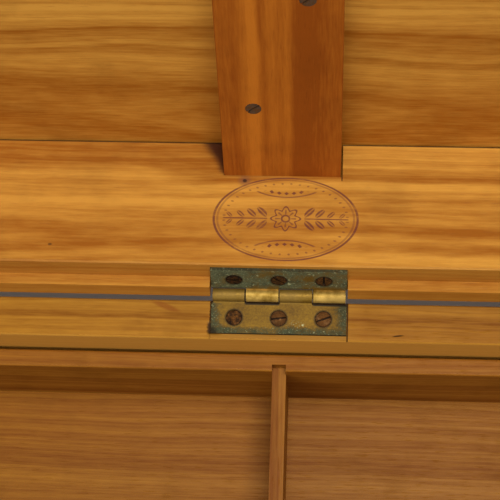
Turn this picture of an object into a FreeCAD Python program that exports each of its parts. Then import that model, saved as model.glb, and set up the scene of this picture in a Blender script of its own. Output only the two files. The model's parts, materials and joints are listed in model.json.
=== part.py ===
import FreeCAD, Part
import math
import os

V = FreeCAD.Vector
os.makedirs("parts", exist_ok=True)

# Brass-bound camphor wood trunk, millimetres.
# Origin: centre of the footprint, on the floor. +X to the right end, +Y to the back, +Z up.
# The lid and all it carries are drawn shut and then swung open about the hinge pins.

# The whole trunk, shut
trunk_length = 1016.0
trunk_width = 508.0
trunk_height = 508.0
open_angle = 108.0

# Boards
wall_thick = 22.3
bottom_thick = 18.0
lid_board_thick = 19.0
rail_height = 93.0
board_arris = 1.5
rim_arris = 0.8
bottom_board_count = 2
lid_board_count = 3
board_joint_bevel = 0.6

# Dovetailed corners
wall_tails = 6
rail_tails = 2
tail_flare = 4.0
tail_share = 0.62

# Dust lip on the body's rim and the rebate in the lid that takes it
land_width = 9.8
lip_side_gap = 0.6
lip_top_gap = 0.6

# Skids under the bottom
skid_height = 20.0
skid_width = 62.0
skid_from_end = 96.0
skid_count = 3
skid_short = 8.0
skid_bevel = 5.0
skid_screw_sunk = 0.5
skid_screw_shares = (-0.8, -0.3, 0.3, 0.8)

# Hinges: leaves lie on the two rims, pin behind the back face
hinge_length = 76.2
hinge_from_end = 170.0
knuckle_count = 4
knuckle_inset = 0.6
knuckle_gap = 0.4
barrel_radius = 3.7
hinge_pin_radius = 1.6
pin_running_gap = 0.05
pin_behind_back = 2.6
leaf_thick = 2.1
leaf_reach = 21.8
leaf_seat_depth = 0.25
leaf_notch_gap = 0.5
leaf_end_gap = 0.4
leaf_edge_round = 0.35
hinge_screw_from_end = 13.0
hinge_screw_reach = 12.75

# Countersunk wood screws: head radius, shank radius, length
screw_head_edge = 0.4
screw_point_share = 0.2
hinge_screw = (4.65, 2.1, 17.0)
batten_screw = (4.4, 2.0, 34.0)
skid_screw = (5.0, 2.4, 32.0)
plate_screw = (3.2, 1.5, 13.0)
handle_screw = (3.9, 1.9, 19.0)
screw_slot_width = 1.0
screw_slot_depth = 1.1
hole_gap = 0.05

# Battens under the lid
batten_width = 67.0
batten_thick = 24.0
batten_let_in = 10.0
batten_notch_left_gap = 0.2
batten_notch_right_gap = 0.9
batten_arris = 0.8
batten_screw_count = 5
batten_screw_from_rail = 60.0
batten_screw_zigzag = 15.0

# Corner brass, let in flush
brass_thick = 1.6
brass_leg = 58.0
brass_leg_width = 20.0
brass_inner_radius = 8.0
brass_end_radius = 5.0
brass_pin_from_end = 7.0
rim_brass_height = 44.0
lid_strap_height = 34.0
brass_pin_radius = 1.3
brass_pin_length = 8.0
brass_pin_head_radius = 2.7
brass_pin_dome = 0.9

# Lid stays: slotted arm, pivot on the lid's side rail, stud on the body's side wall
stay_radius = 150.0
stay_pivot_angle = 12.0
stay_stud_angle = 26.0
stay_arm_width = 16.0
stay_arm_thick = 2.5
stay_stud_radius = 3.0
stay_slot_gap = 0.3
stay_stop_gap = 0.15
stay_pivot_radius = 3.0
stay_head_radius = 6.5
stay_head_thick = 1.5
stay_plate_length = 46.0
stay_plate_width = 20.0
stay_plate_thick = 1.5
stay_plate_corner = 8.0
stay_side_gap = 0.3
stay_screw_pitch = 15.0
stay_end_margin = 12.0

# Bail handles on the two ends
handle_height = 232.0
handle_plate_length = 148.0
handle_plate_width = 52.0
handle_plate_thick = 2.0
handle_plate_corner = 12.0
handle_screw_inset = 10.0
bail_pivot_spacing = 96.0
bail_rod_radius = 4.5
bail_drop = 46.0
bail_bend = 14.0
bail_grip_radius = 5.6
bail_grip_round = 1.05
bail_grip_from_bend = 8.0
bail_ear_gap = 1.0
bail_pin_radius = 3.6
bail_pin_gap = 0.1
ear_thick = 10.0
ear_radius = 8.0
ear_standoff = 10.0

# Lock, let into the inside of the front wall at mid length
lock_width = 72.0
lock_depth = 44.0
lock_thick = 13.0
lock_wall = 1.2
selvedge_length = 88.0
selvedge_thick = 2.0
selvedge_screw_from_end = 5.5
key_below_rim = 30.0
key_shank_radius = 3.0
key_bit_reach = 9.0
key_bit_width = 3.2
key_bit_thick = 6.0
key_swing = 60.0
key_out = 22.0
key_bow_radius = 11.0
key_bow_thick = 3.6
key_bow_rim = 4.4
key_collar_radius = 4.1
key_collar_length = 4.0
key_tip_radius = 2.0
bolt_throw = 8.0
bolt_side_gap = 0.8
bolt_rail_height = 6.0
bolt_finger_height = 4.6
bolt_finger_thick = 3.6
bolt_upright_width = 4.0
bolt_notch_gap = 1.3
bolt_ledge_gap = 0.3
staple_pitch = 32.0
staple_thick = 3.0
staple_width = 8.0
staple_reach = 14.0
staple_eye_height = 6.0
staple_eye_width = 5.0
staple_tip = 3.0
staple_end_gap = 4.0
staple_corner = 1.5
staple_hole_gap = 0.8
link_plate_length = 74.0
link_plate_thick = 2.0
link_plate_margin = 0.5
link_screw_inset = 7.0
lip_gap_beyond_plate = 2.0
escutcheon_radius = 16.0
escutcheon_thick = 1.5
escutcheon_pin_inset = 4.0
keyhole_gap = 0.5
wood_keyhole_gap = 1.5

# Lift-out tray and its runners
tray_below_rim = 28.0
tray_height = 84.0
tray_wall = 10.0
tray_bottom_thick = 6.0
tray_groove = 4.0
tray_bottom_up = 5.0
tray_front_gap = 1.6
tray_end_gap = 3.6
divider_thick = 8.0
divider_down = 8.0
hand_hole_length = 92.0
hand_hole_height = 26.0
hand_hole_corner = 12.5
hand_hole_below_top = 16.0
tray_arris = 1.2
runner_height = 18.0
runner_width = 15.0
runner_short = 36.0
fit_gap = 0.3

# Places worked out from the sizes above
half_length = trunk_length / 2
half_width = trunk_width / 2
inner_x = half_length - wall_thick
inner_y = half_width - wall_thick
wall_bottom = skid_height + bottom_thick
rim_z = trunk_height - rail_height - lid_board_thick
lid_under_z = rim_z + rail_height
pin_rise = barrel_radius - leaf_seat_depth
pin_y = half_width + pin_behind_back
pin_z = rim_z + pin_rise
rebate_depth = pin_rise + barrel_radius
lip_height = rebate_depth - lip_top_gap
lip_inset = land_width + lip_side_gap
hinge_x = half_length - hinge_from_end
hinge_places = {"left": -hinge_x, "centre": 0.0, "right": hinge_x}
pin_centre = V(0, pin_y, pin_z)


def box(x0, x1, y0, y1, z0, z1):
    """Upright block between two corners."""
    return Part.makeBox(x1 - x0, y1 - y0, z1 - z0, V(x0, y0, z0))


def rod(radius, start, end):
    """Round bar from one point to another."""
    along = end.sub(start)
    return Part.makeCylinder(radius, along.Length, start, along)


def fuse(shapes):
    """One solid from touching or crossing ones."""
    whole = shapes[0].fuse(shapes[1:]) if len(shapes) > 1 else shapes[0]
    return whole.removeSplitter()


def prism(points, along):
    """Straight-sided solid from a flat outline."""
    face = Part.Face(Part.makePolygon(points + [points[0]]))
    return face.extrude(along)


def rounded(shape, radius, wanted):
    """Rounds the straight edges for which wanted(edge) is true."""
    edges = [e for e in shape.Edges if isinstance(e.Curve, Part.Line) and wanted(e)]
    return shape.makeFillet(radius, edges) if edges else shape


def runs_along(edge, axis):
    """True for an edge parallel to the axis."""
    start, end = edge.Vertexes[0].Point, edge.Vertexes[-1].Point
    along = end.sub(start)
    return along.Length > 1e-6 and along.cross(axis).Length < 1e-6 * along.Length


def swung_open(shape):
    """The lid's place at rest: turned back about the hinge pins."""
    turned = shape.copy()
    turned.rotate(pin_centre, V(1, 0, 0), -open_angle)
    return turned


def save(name, shape):
    """Writes one named piece, or one group of like pieces."""
    if isinstance(shape, list):
        shape = Part.makeCompound(shape)
    shape.exportStep("parts/%s.step" % name)


def placed(shape, point, direction, spin=0.0):
    """Moves a shape drawn on the origin with its axis up to a point and direction."""
    moved = shape.copy()
    moved.rotate(V(0, 0, 0), V(0, 0, 1), spin)
    turn = FreeCAD.Rotation(V(0, 0, 1), direction)
    moved.Placement = FreeCAD.Placement(point, turn).multiply(moved.Placement)
    return moved


def screw(kind, point, outward, slot_angle=0.0):
    """Countersunk slotted screw, head flush at the point, head facing outward."""
    head, shank, length = kind
    cone_depth = head - shank
    profile = [
        V(0, 0, 0),
        V(head, 0, 0),
        V(head, 0, -screw_head_edge),
        V(shank, 0, -screw_head_edge - cone_depth),
        V(shank, 0, -length * (1 - screw_point_share)),
        V(0, 0, -length),
    ]
    face = Part.Face(Part.makePolygon(profile + [profile[0]]))
    body = face.revolve(V(0, 0, 0), V(0, 0, 1), 360)
    slot = box(-head, head, -screw_slot_width / 2, screw_slot_width / 2, -screw_slot_depth, 1)
    return placed(body.cut(slot), point, outward, slot_angle)


def screw_hole(kind, point, outward):
    """The room that a screw takes in wood and plate."""
    head, shank, length = kind
    head, shank = head + hole_gap, shank + hole_gap
    profile = [
        V(0, 0, 1),
        V(head, 0, 1),
        V(head, 0, -screw_head_edge),
        V(shank, 0, -screw_head_edge - (head - shank)),
        V(shank, 0, -length - hole_gap),
        V(0, 0, -length - hole_gap),
    ]
    face = Part.Face(Part.makePolygon(profile + [profile[0]]))
    return placed(face.revolve(V(0, 0, 0), V(0, 0, 1), 360), point, outward)


def bevel_bar(start, end, size):
    """Cutter that takes a small bevel off a level edge: a square bar turned by 45 degrees."""
    along = end.sub(start)
    up = V(0, 0, size)
    across = V(along).cross(V(0, 0, 1)).normalize() * size
    return prism([start + up, start + across, start - up, start - across], along)


def bevel_ring(reach_x, reach_y, z, size):
    """Bevel bars along the four level edges of a rectangle."""
    signs = ((-1, -1), (1, -1), (1, 1), (-1, 1))
    corners = [V(a * reach_x, b * reach_y, z) for a, b in signs]
    return [bevel_bar(corners[i - 1], corners[i], size) for i in range(len(corners))]


# Outer forms with eased edges, which every board and every corner brass is trimmed to
body_form = rounded(
    box(-half_length, half_length, -half_width, half_width, skid_height, rim_z),
    board_arris,
    lambda e: runs_along(e, V(0, 0, 1)) or e.BoundBox.ZMax < skid_height + 1,
)
lid_form = rounded(
    box(-half_length, half_length, -half_width, half_width, rim_z, trunk_height),
    board_arris,
    lambda e: runs_along(e, V(0, 0, 1)) or e.BoundBox.ZMin > trunk_height - 1,
)
lip_x = half_length - lip_inset
lip_y = half_width - lip_inset
body_form_with_lip = body_form.fuse(box(-lip_x, lip_x, -lip_y, inner_y, rim_z, rim_z + lip_height))


def tails(x_sign, y_sign, z0, z1, count):
    """Dovetails at one corner, as solids that belong to the front or back board."""
    pitch = (z1 - z0) / count
    near = inner_x * x_sign
    far = half_length * x_sign
    y0 = half_width * y_sign
    y1 = inner_y * y_sign
    made = []
    for index in range(count):
        middle = z0 + pitch * (index + 0.5)
        half_near = pitch * tail_share / 2 - tail_flare / 2
        half_far = half_near + tail_flare
        outline = [
            V(near, y0, middle - half_near),
            V(far, y0, middle - half_far),
            V(far, y0, middle + half_far),
            V(near, y0, middle + half_near),
        ]
        made.append(prism(outline, V(0, y1 - y0, 0)))
    return made


def board_frame(z0, z1, count):
    """Four dovetailed boards of a box: front, back, left, right."""
    boards = {}
    all_tails = {(sx, sy): tails(sx, sy, z0, z1, count) for sx in (-1, 1) for sy in (-1, 1)}
    for name, sy in (("front", -1), ("back", 1)):
        y0, y1 = sorted((half_width * sy, inner_y * sy))
        main = box(-inner_x, inner_x, y0, y1, z0, z1)
        boards[name] = fuse([main] + all_tails[(-1, sy)] + all_tails[(1, sy)])
    for name, sx in (("left", -1), ("right", 1)):
        x0, x1 = sorted((half_length * sx, inner_x * sx))
        main = box(x0, x1, -half_width, half_width, z0, z1)
        boards[name] = main.cut(all_tails[(sx, -1)] + all_tails[(sx, 1)])
    return boards


def corner_plate(origin, along_a, along_b, reach_a, reach_b, normal):
    """Angle-shaped plate on one face of a corner: a leg along each edge, thickness inward."""
    width = brass_leg_width
    outline = [
        origin,
        origin + along_a * reach_a,
        origin + along_a * reach_a + along_b * width,
        origin + along_a * width + along_b * width,
        origin + along_a * width + along_b * reach_b,
        origin + along_b * reach_b,
    ]
    plate = prism(outline, normal * -brass_thick)
    inner = origin + along_a * width + along_b * width
    ends = [
        origin + along_a * reach_a + along_b * width,
        origin + along_a * width + along_b * reach_b,
    ]

    def at(edge, point):
        offset = edge.CenterOfMass.sub(point)
        return offset.cross(normal).Length < 0.1

    plate = rounded(plate, brass_inner_radius, lambda e: runs_along(e, normal) and at(e, inner))
    return rounded(
        plate, brass_end_radius, lambda e: runs_along(e, normal) and any(at(e, p) for p in ends)
    )


def leg_pins(origin, along_a, along_b, reach_a, reach_b, normal):
    """Places of the three pins in an angle-shaped plate."""
    half = brass_leg_width / 2
    near_end = brass_pin_from_end
    return [
        (origin + along_a * half + along_b * half, normal),
        (origin + along_a * (reach_a - near_end) + along_b * half, normal),
        (origin + along_a * half + along_b * (reach_b - near_end), normal),
    ]


def three_way_corner(sx, sy, z, into):
    """Corner cap on three faces. into is +1 where the box lies above z and -1 below."""
    corner = V(half_length * sx, half_width * sy, z)
    x_in, y_in, z_in = V(-sx, 0, 0), V(0, -sy, 0), V(0, 0, into)
    sides = [
        (x_in, z_in, V(0, sy, 0)),
        (y_in, z_in, V(sx, 0, 0)),
        (x_in, y_in, V(0, 0, -into)),
    ]
    plates = [corner_plate(corner, a, b, brass_leg, brass_leg, n) for a, b, n in sides]
    pins = []
    for a, b, normal in sides:
        pins += leg_pins(corner, a, b, brass_leg, brass_leg, normal)
    return fuse(plates), pins


def two_way_corner(sx, sy, z, into, height):
    """Angle of brass round an upright corner, at a rim."""
    corner = V(half_length * sx, half_width * sy, z)
    x_in, y_in, z_in = V(-sx, 0, 0), V(0, -sy, 0), V(0, 0, into)
    sides = [(x_in, z_in, V(0, sy, 0)), (y_in, z_in, V(sx, 0, 0))]
    plates = [corner_plate(corner, a, b, brass_leg, height, n) for a, b, n in sides]
    pins = []
    for a, b, normal in sides:
        pins += leg_pins(corner, a, b, brass_leg, height, normal)
    return fuse(plates), pins


def brass_pin(point, outward):
    """Low domed pin, head standing on the brass."""
    shank = rod(brass_pin_radius, V(0, 0, -brass_pin_length), V(0, 0, 0.1))
    sphere_radius = (brass_pin_head_radius ** 2 + brass_pin_dome ** 2) / (2 * brass_pin_dome)
    ball = Part.makeSphere(sphere_radius, V(0, 0, brass_pin_dome - sphere_radius))
    reach = brass_pin_head_radius + 1
    dome = ball.common(box(-reach, reach, -reach, reach, 0, reach))
    return placed(fuse([shank, dome]), point, outward)


def brass_pin_hole(point, outward):
    """Hole for a brass pin."""
    start = point + outward
    end = point - outward * (brass_pin_length + hole_gap)
    return rod(brass_pin_radius + hole_gap, start, end)


# Corner brass and its pins, before the boards are cut for them
corner_signs = [(-1, -1), (1, -1), (-1, 1), (1, 1)]
body_corners = [three_way_corner(sx, sy, skid_height, 1) for sx, sy in corner_signs]
body_corners += [two_way_corner(sx, sy, rim_z, -1, rim_brass_height) for sx, sy in corner_signs]
lid_corners = [three_way_corner(sx, sy, trunk_height, -1) for sx, sy in corner_signs]
lid_corners += [two_way_corner(sx, sy, rim_z, 1, lid_strap_height) for sx, sy in corner_signs]
body_pins = [pin for _, pins in body_corners for pin in pins]
lid_pins = [pin for _, pins in lid_corners for pin in pins]
body_pin_holes = Part.makeCompound([brass_pin_hole(p, n) for p, n in body_pins])
lid_pin_holes = Part.makeCompound([brass_pin_hole(p, n) for p, n in lid_pins])
body_brass = [shape.common(body_form).cut(body_pin_holes) for shape, _ in body_corners]
lid_brass = [shape.common(lid_form).cut(lid_pin_holes) for shape, _ in lid_corners]
body_brass_room = Part.makeCompound([shape for shape, _ in body_corners])
lid_brass_room = Part.makeCompound([shape for shape, _ in lid_corners])


def near_holes(board, points, maker):
    """Holes for those points that lie on or beside a board."""
    reach = board.BoundBox
    reach.enlarge(1.0)
    return [maker(*point) for point in points if reach.isInside(point[0])]


# Hinges
knuckle_span = hinge_length - 2 * knuckle_inset
knuckle_pitch = knuckle_span / knuckle_count
hinge_screw_pitch = hinge_length / 2 - hinge_screw_from_end
hinge_screw_xs = [-hinge_screw_pitch, 0.0, hinge_screw_pitch]


def knuckle_range(centre, index):
    """Start and end of one knuckle along the pin."""
    start = centre - knuckle_span / 2 + knuckle_pitch * index
    return start + knuckle_gap / 2, start + knuckle_pitch - knuckle_gap / 2


def hinge_leaf(centre, upper):
    """One leaf with its rolled knuckles, drawn shut. upper is the lid's leaf."""
    side = 1 if upper else -1
    outer = pin_z + side * barrel_radius
    inner = outer - side * leaf_thick
    z0, z1 = sorted((outer, inner))
    half = hinge_length / 2
    leaf = box(centre - half, centre + half, pin_y - leaf_reach, pin_y, z0, z1)
    clear = barrel_radius + leaf_notch_gap
    own, other = [], []
    for index in range(knuckle_count):
        x0, x1 = knuckle_range(centre, index)
        mine = (index % 2 == 1) == upper
        if mine:
            own.append(rod(barrel_radius, V(x0, pin_y, pin_z), V(x1, pin_y, pin_z)))
        else:
            start = x0 - knuckle_gap
            end = x1 + knuckle_gap
            if index == 0:
                start = centre - half - 1
            if index == knuckle_count - 1:
                end = centre + half + 1
            other.append(box(start, end, pin_y - clear, pin_y + clear, z0 - 1, z1 + 1))
    first = knuckle_range(centre, 0)[0]
    last = knuckle_range(centre, knuckle_count - 1)[1]
    ends = [
        box(centre - half - 1, first, pin_y - clear, pin_y + clear, z0 - 1, z1 + 1),
        box(last, centre + half + 1, pin_y - clear, pin_y + clear, z0 - 1, z1 + 1),
    ]
    leaf = leaf.cut(other + ends)
    leaf = rounded(leaf, leaf_edge_round, lambda e: abs(e.CenterOfMass.z - inner) < 0.01)
    bore_radius = hinge_pin_radius + pin_running_gap
    bore = rod(bore_radius, V(centre - half, pin_y, pin_z), V(centre + half, pin_y, pin_z))
    shape = fuse([leaf] + own).cut(bore)
    holes = [screw_hole(hinge_screw, *place) for place in hinge_screw_places(centre, upper)]
    return shape.cut(holes)


def hinge_screw_places(centre, upper):
    """Where the three screws of a leaf sit, and which way their heads face."""
    side = 1 if upper else -1
    face = pin_z + side * (barrel_radius - leaf_thick)
    return [
        (V(centre + x, pin_y - hinge_screw_reach, face), V(0, 0, -side)) for x in hinge_screw_xs
    ]


# Slot directions of the screws as they were left by hand
lower_slots = {"left": (35, 80, 10), "centre": (64, -8, 20), "right": (5, 50, -30)}
upper_slots = {"left": (0, 15, -10), "centre": (4, -6, 10), "right": (20, -12, 6)}
hinge_pins = []
lower_screws = []
upper_screws = []
lower_screw_places = []
upper_screw_places = []
for hinge_name, hinge_centre in hinge_places.items():
    save("hinge_%s_lower_leaf" % hinge_name, hinge_leaf(hinge_centre, False))
    save("hinge_%s_upper_leaf" % hinge_name, swung_open(hinge_leaf(hinge_centre, True)))
    pin_start = V(hinge_centre - knuckle_span / 2, pin_y, pin_z)
    hinge_pins.append(rod(hinge_pin_radius, pin_start, pin_start + V(knuckle_span, 0, 0)))
    lower = hinge_screw_places(hinge_centre, False)
    upper = hinge_screw_places(hinge_centre, True)
    lower_screw_places += lower
    upper_screw_places += upper
    lower_screws += [screw(hinge_screw, *p, a) for p, a in zip(lower, lower_slots[hinge_name])]
    upper_screws += [screw(hinge_screw, *p, a) for p, a in zip(upper, upper_slots[hinge_name])]
save("hinge_pins", hinge_pins)
save("lower_hinge_screws", lower_screws)
save("upper_hinge_screws", [swung_open(s) for s in upper_screws])

# Lid stays. The pivot and the stud lie at one distance from the hinge pins, so the arm turns
# half as fast as the lid and its slot is straight.
pivot_turn = math.radians(180 - stay_pivot_angle)
stud_turn = math.radians(180 + stay_stud_angle)
pivot_y = pin_y + stay_radius * math.cos(pivot_turn)
pivot_z = pin_z + stay_radius * math.sin(pivot_turn)
stud_y = pin_y + stay_radius * math.cos(stud_turn)
stud_z = pin_z + stay_radius * math.sin(stud_turn)
corner_turn = stay_pivot_angle + stay_stud_angle
reach_shut = 2 * stay_radius * math.sin(math.radians(corner_turn / 2))
reach_open = 2 * stay_radius * math.sin(math.radians((corner_turn + open_angle) / 2))
arm_outer = inner_x - stay_plate_thick - stay_side_gap
arm_inner = arm_outer - stay_arm_thick
head_inner = arm_inner - stay_side_gap - stay_head_thick
slot_half = stay_stud_radius + stay_slot_gap
stay_screw_offsets = (-stay_screw_pitch, stay_screw_pitch)


def stay_plate(sx, y, z, radius):
    """Oval wall plate with its stud and the stud's head, on the inner face of an end."""
    face = inner_x * sx
    half = stay_plate_length / 2
    flat = box(
        min(face, face - sx * stay_plate_thick),
        max(face, face - sx * stay_plate_thick),
        y - half,
        y + half,
        z - stay_plate_width / 2,
        z + stay_plate_width / 2,
    )
    flat = rounded(flat, stay_plate_corner, lambda e: runs_along(e, V(1, 0, 0)))
    head_outer = head_inner + stay_head_thick
    stud = rod(radius, V(face - sx * stay_plate_thick, y, z), V(sx * head_outer, y, z))
    head = rod(stay_head_radius, V(sx * head_outer, y, z), V(sx * head_inner, y, z))
    holes = [screw_hole(plate_screw, *p) for p in stay_screw_places(sx, y, z)]
    return fuse([flat, stud, head]).cut(holes)


def stay_screw_places(sx, y, z):
    """The two screws of a stay's plate."""
    face = sx * (inner_x - stay_plate_thick)
    return [(V(face, y + offset, z), V(-sx, 0, 0)) for offset in stay_screw_offsets]


def stay_arm(sx):
    """Slotted arm, drawn as it lies when the lid is open."""
    turn = FreeCAD.Rotation(V(1, 0, 0), -open_angle)
    pivot = pin_centre + turn.multVec(V(0, pivot_y - pin_y, pivot_z - pin_z))
    stud = V(0, stud_y, stud_z)
    along = stud.sub(pivot).normalize()
    across = along.cross(V(1, 0, 0)).normalize()
    width = stay_arm_width / 2

    def strip(half, start, end):
        """Round-ended strip along the arm."""
        first, last = pivot + along * start, pivot + along * end
        corners = [
            first + across * half,
            last + across * half,
            last - across * half,
            first - across * half,
        ]
        for corner in corners:
            corner.x = arm_inner
        thick = V(stay_arm_thick, 0, 0)
        caps = []
        for centre in (first, last):
            centre = V(arm_inner, centre.y, centre.z)
            caps.append(Part.makeCylinder(half, stay_arm_thick, centre, V(1, 0, 0)))
        return fuse([prism(corners, thick)] + caps)

    slot_start = reach_shut - slot_half
    slot_end = reach_open + stay_stop_gap - stay_slot_gap
    arm = strip(width, 0, slot_end + stay_end_margin)
    arm = arm.cut(strip(slot_half, slot_start, slot_end))
    hole_radius = stay_pivot_radius + pin_running_gap
    hole = rod(hole_radius, V(arm_inner - 1, pivot.y, pivot.z), V(arm_outer + 1, pivot.y, pivot.z))
    arm = arm.cut(hole)
    if sx < 0:
        arm = arm.mirror(V(0, 0, 0), V(1, 0, 0))
    return arm


body_stay_screws = []
lid_stay_screws = []
for side_name, sx in (("left", -1), ("right", 1)):
    save("stay_stud_%s" % side_name, stay_plate(sx, stud_y, stud_z, stay_stud_radius))
    pivot_plate = stay_plate(sx, pivot_y, pivot_z, stay_pivot_radius)
    save("stay_pivot_%s" % side_name, swung_open(pivot_plate))
    save("stay_arm_%s" % side_name, stay_arm(sx))
    for place in stay_screw_places(sx, stud_y, stud_z):
        body_stay_screws.append(screw(plate_screw, *place, 30))
    for place in stay_screw_places(sx, pivot_y, pivot_z):
        lid_stay_screws.append(screw(plate_screw, *place, 70))

# Lock in the front wall: case with its top plate, sliding bolt, key, and the lid's staples
lock_back = -inner_y
lock_front = -inner_y - lock_thick
lock_mid_y = (lock_back + lock_front) / 2
lock_low = rim_z - lock_depth
key_z = rim_z - key_below_rim
bolt_half = lock_thick / 2 - lock_wall - bolt_side_gap
staple_end = rim_z - staple_reach
eye_mid = staple_end + staple_tip + staple_eye_height / 2
rail_top = staple_end - staple_end_gap
rail_low = rail_top - bolt_rail_height
selvedge_screw_x = selvedge_length / 2 - selvedge_screw_from_end
staple_xs = (-staple_pitch / 2, staple_pitch / 2)
selvedge_places = [
    (V(s * selvedge_screw_x, lock_mid_y, rim_z), V(0, 0, 1)) for s in (-1, 1)
]


def keyhole(radius, y0, y1):
    """Round hole with the bit's slot below it, through whatever lies between y0 and y1."""
    hole = rod(radius, V(0, y0, key_z), V(0, y1, key_z))
    half = key_bit_width / 2 + keyhole_gap
    slot = box(-half, half, y0, y1, key_z - key_bit_reach - keyhole_gap, key_z)
    return fuse([hole, slot])


def lock_case():
    """Sheet case, open under the staples' holes, with ledges that carry the bolt."""
    half = lock_width / 2
    outside = box(-half, half, lock_front, lock_back, lock_low, rim_z - selvedge_thick)
    hollow = box(
        -half + lock_wall,
        half - lock_wall,
        lock_front + lock_wall,
        lock_back - lock_wall,
        lock_low + lock_wall,
        rim_z - selvedge_thick,
    )
    plate_half = selvedge_length / 2
    plate = box(-plate_half, plate_half, lock_front, lock_back, rim_z - selvedge_thick, rim_z)
    ledge_width = half - lock_wall - key_bit_reach - bolt_throw
    ledges = []
    for s in (-1, 1):
        x0, x1 = sorted((s * (half - lock_wall), s * (half - lock_wall - ledge_width)))
        y0, y1 = lock_front + lock_wall, lock_back - lock_wall
        ledges.append(box(x0, x1, y0, y1, lock_low + lock_wall, rail_low - bolt_ledge_gap))
    case = fuse([outside.cut(hollow), plate] + ledges)
    holes = []
    for x in staple_xs:
        gap = staple_hole_gap
        holes.append(
            box(
                x - staple_thick / 2 - gap,
                x + staple_thick / 2 + gap,
                lock_mid_y - staple_width / 2 - gap,
                lock_mid_y + staple_width / 2 + gap,
                rim_z - selvedge_thick - 1,
                rim_z + 1,
            )
        )
    y0, y1 = lock_front - 1, lock_front + lock_wall + 0.1
    holes.append(keyhole(key_shank_radius + pin_running_gap, y0, y1))
    tip_hole = key_tip_radius + pin_running_gap
    y0, y1 = lock_back - lock_wall - 0.1, lock_back + 1
    holes.append(rod(tip_hole, V(0, y0, key_z), V(0, y1, key_z)))
    holes += [screw_hole(plate_screw, *p) for p in selvedge_places]
    return case.cut(holes)


def lock_bolt():
    """Rail with two fingers that run through the staples' eyes, at its drawn-back place."""
    upright_gap = bolt_throw + 2 * bolt_side_gap
    solids = []
    first_x = -staple_pitch / 2 - staple_thick / 2 - upright_gap - bolt_upright_width
    last_x = staple_pitch / 2 - staple_thick / 2 - bolt_side_gap
    y0, y1 = lock_mid_y - bolt_half, lock_mid_y + bolt_half
    solids.append(box(first_x, last_x, y0, y1, rail_low, rail_top))
    for x in staple_xs:
        tip = x - staple_thick / 2 - bolt_side_gap
        root = x - staple_thick / 2 - upright_gap
        low, high = eye_mid - bolt_finger_height / 2, eye_mid + bolt_finger_height / 2
        solids.append(box(root - bolt_upright_width, root, y0, y1, rail_top, high))
        half = bolt_finger_thick / 2
        solids.append(box(root - half, tip, lock_mid_y - half, lock_mid_y + half, low, high))
    bolt = fuse(solids)
    middle = -bolt_throw / 2
    notch_half = key_bit_width / 2 + bolt_notch_gap
    notch_top = key_z + key_bit_reach + bolt_notch_gap / 2
    notch = box(middle - notch_half, middle + notch_half, y0 - 1, y1 + 1, rail_low - 1, notch_top)
    return bolt.cut(notch)


def key():
    """Key in the lock, its bit standing in the bolt's notch."""
    bow_centre = -half_width - key_out
    tip_y = lock_back - lock_wall - fit_gap
    shank = rod(key_shank_radius, V(0, bow_centre, key_z), V(0, tip_y, key_z))
    tip = rod(key_tip_radius, V(0, tip_y, key_z), V(0, lock_back - fit_gap, key_z))
    half = key_bit_width / 2
    y0, y1 = lock_mid_y - key_bit_thick / 2, lock_mid_y + key_bit_thick / 2
    bit = box(-half, half, y0, y1, key_z, key_z + key_bit_reach)
    outer = rod(key_bow_radius, V(0, 0, -key_bow_thick / 2), V(0, 0, key_bow_thick / 2))
    inner = rod(key_bow_radius - key_bow_rim, V(0, 0, -key_bow_thick), V(0, 0, key_bow_thick))
    ring = outer.cut(inner)
    ring.rotate(V(0, 0, 0), V(0, 1, 0), 90)
    ring.translate(V(0, bow_centre - key_bow_radius + key_bow_rim / 2, key_z))
    collar_end = V(0, bow_centre + key_collar_length, key_z)
    collar = rod(key_collar_radius, V(0, bow_centre, key_z), collar_end)
    shape = fuse([shank, tip, bit, ring, collar])
    shape.rotate(V(0, 0, key_z), V(0, 1, 0), -key_swing / 2)
    return shape


def link_plate():
    """Plate under the lid's front rail with its two staples, drawn shut."""
    top = rim_z + rebate_depth
    low = top - link_plate_thick
    half = link_plate_length / 2
    y0 = -half_width + land_width + link_plate_margin
    y1 = -inner_y - link_plate_margin
    solids = [box(-half, half, y0, y1, low, top)]
    for x in staple_xs:
        leg = box(
            x - staple_thick / 2,
            x + staple_thick / 2,
            lock_mid_y - staple_width / 2,
            lock_mid_y + staple_width / 2,
            staple_end,
            low,
        )
        leg = rounded(
            leg, staple_corner, lambda e: runs_along(e, V(1, 0, 0)) and e.BoundBox.ZMax < low - 1
        )
        eye = box(
            x - staple_thick,
            x + staple_thick,
            lock_mid_y - staple_eye_width / 2,
            lock_mid_y + staple_eye_width / 2,
            eye_mid - staple_eye_height / 2,
            eye_mid + staple_eye_height / 2,
        )
        solids.append(leg.cut(eye))
    plate = fuse(solids)
    return plate.cut([screw_hole(plate_screw, *p) for p in link_screw_places()])


def link_screw_places():
    """The two screws of the link plate."""
    x = link_plate_length / 2 - link_screw_inset
    low = rim_z + rebate_depth - link_plate_thick
    return [(V(s * x, lock_mid_y, low), V(0, 0, -1)) for s in (-1, 1)]


escutcheon_face = -half_width - escutcheon_thick
escutcheon_places = [
    (V(s * (escutcheon_radius - escutcheon_pin_inset), escutcheon_face, key_z), V(0, -1, 0))
    for s in (-1, 1)
]


def escutcheon():
    """Round key plate on the front."""
    disc = rod(escutcheon_radius, V(0, -half_width, key_z), V(0, escutcheon_face, key_z))
    hole = keyhole(key_shank_radius + keyhole_gap, escutcheon_face - 1, -half_width + 1)
    return disc.cut([hole] + [brass_pin_hole(p, n) for p, n in escutcheon_places])


save("lock_case", lock_case())
save("lock_bolt", lock_bolt())
save("key", key())
save("link_plate", swung_open(link_plate()))
save("escutcheon", escutcheon())
lid_plate_screws = lid_stay_screws + [screw(plate_screw, *p, 15) for p in link_screw_places()]
body_plate_screws = body_stay_screws + [screw(plate_screw, *p, 40) for p in selvedge_places]
save("lid_plate_screws", [swung_open(s) for s in lid_plate_screws])
save("body_plate_screws", body_plate_screws)

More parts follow.
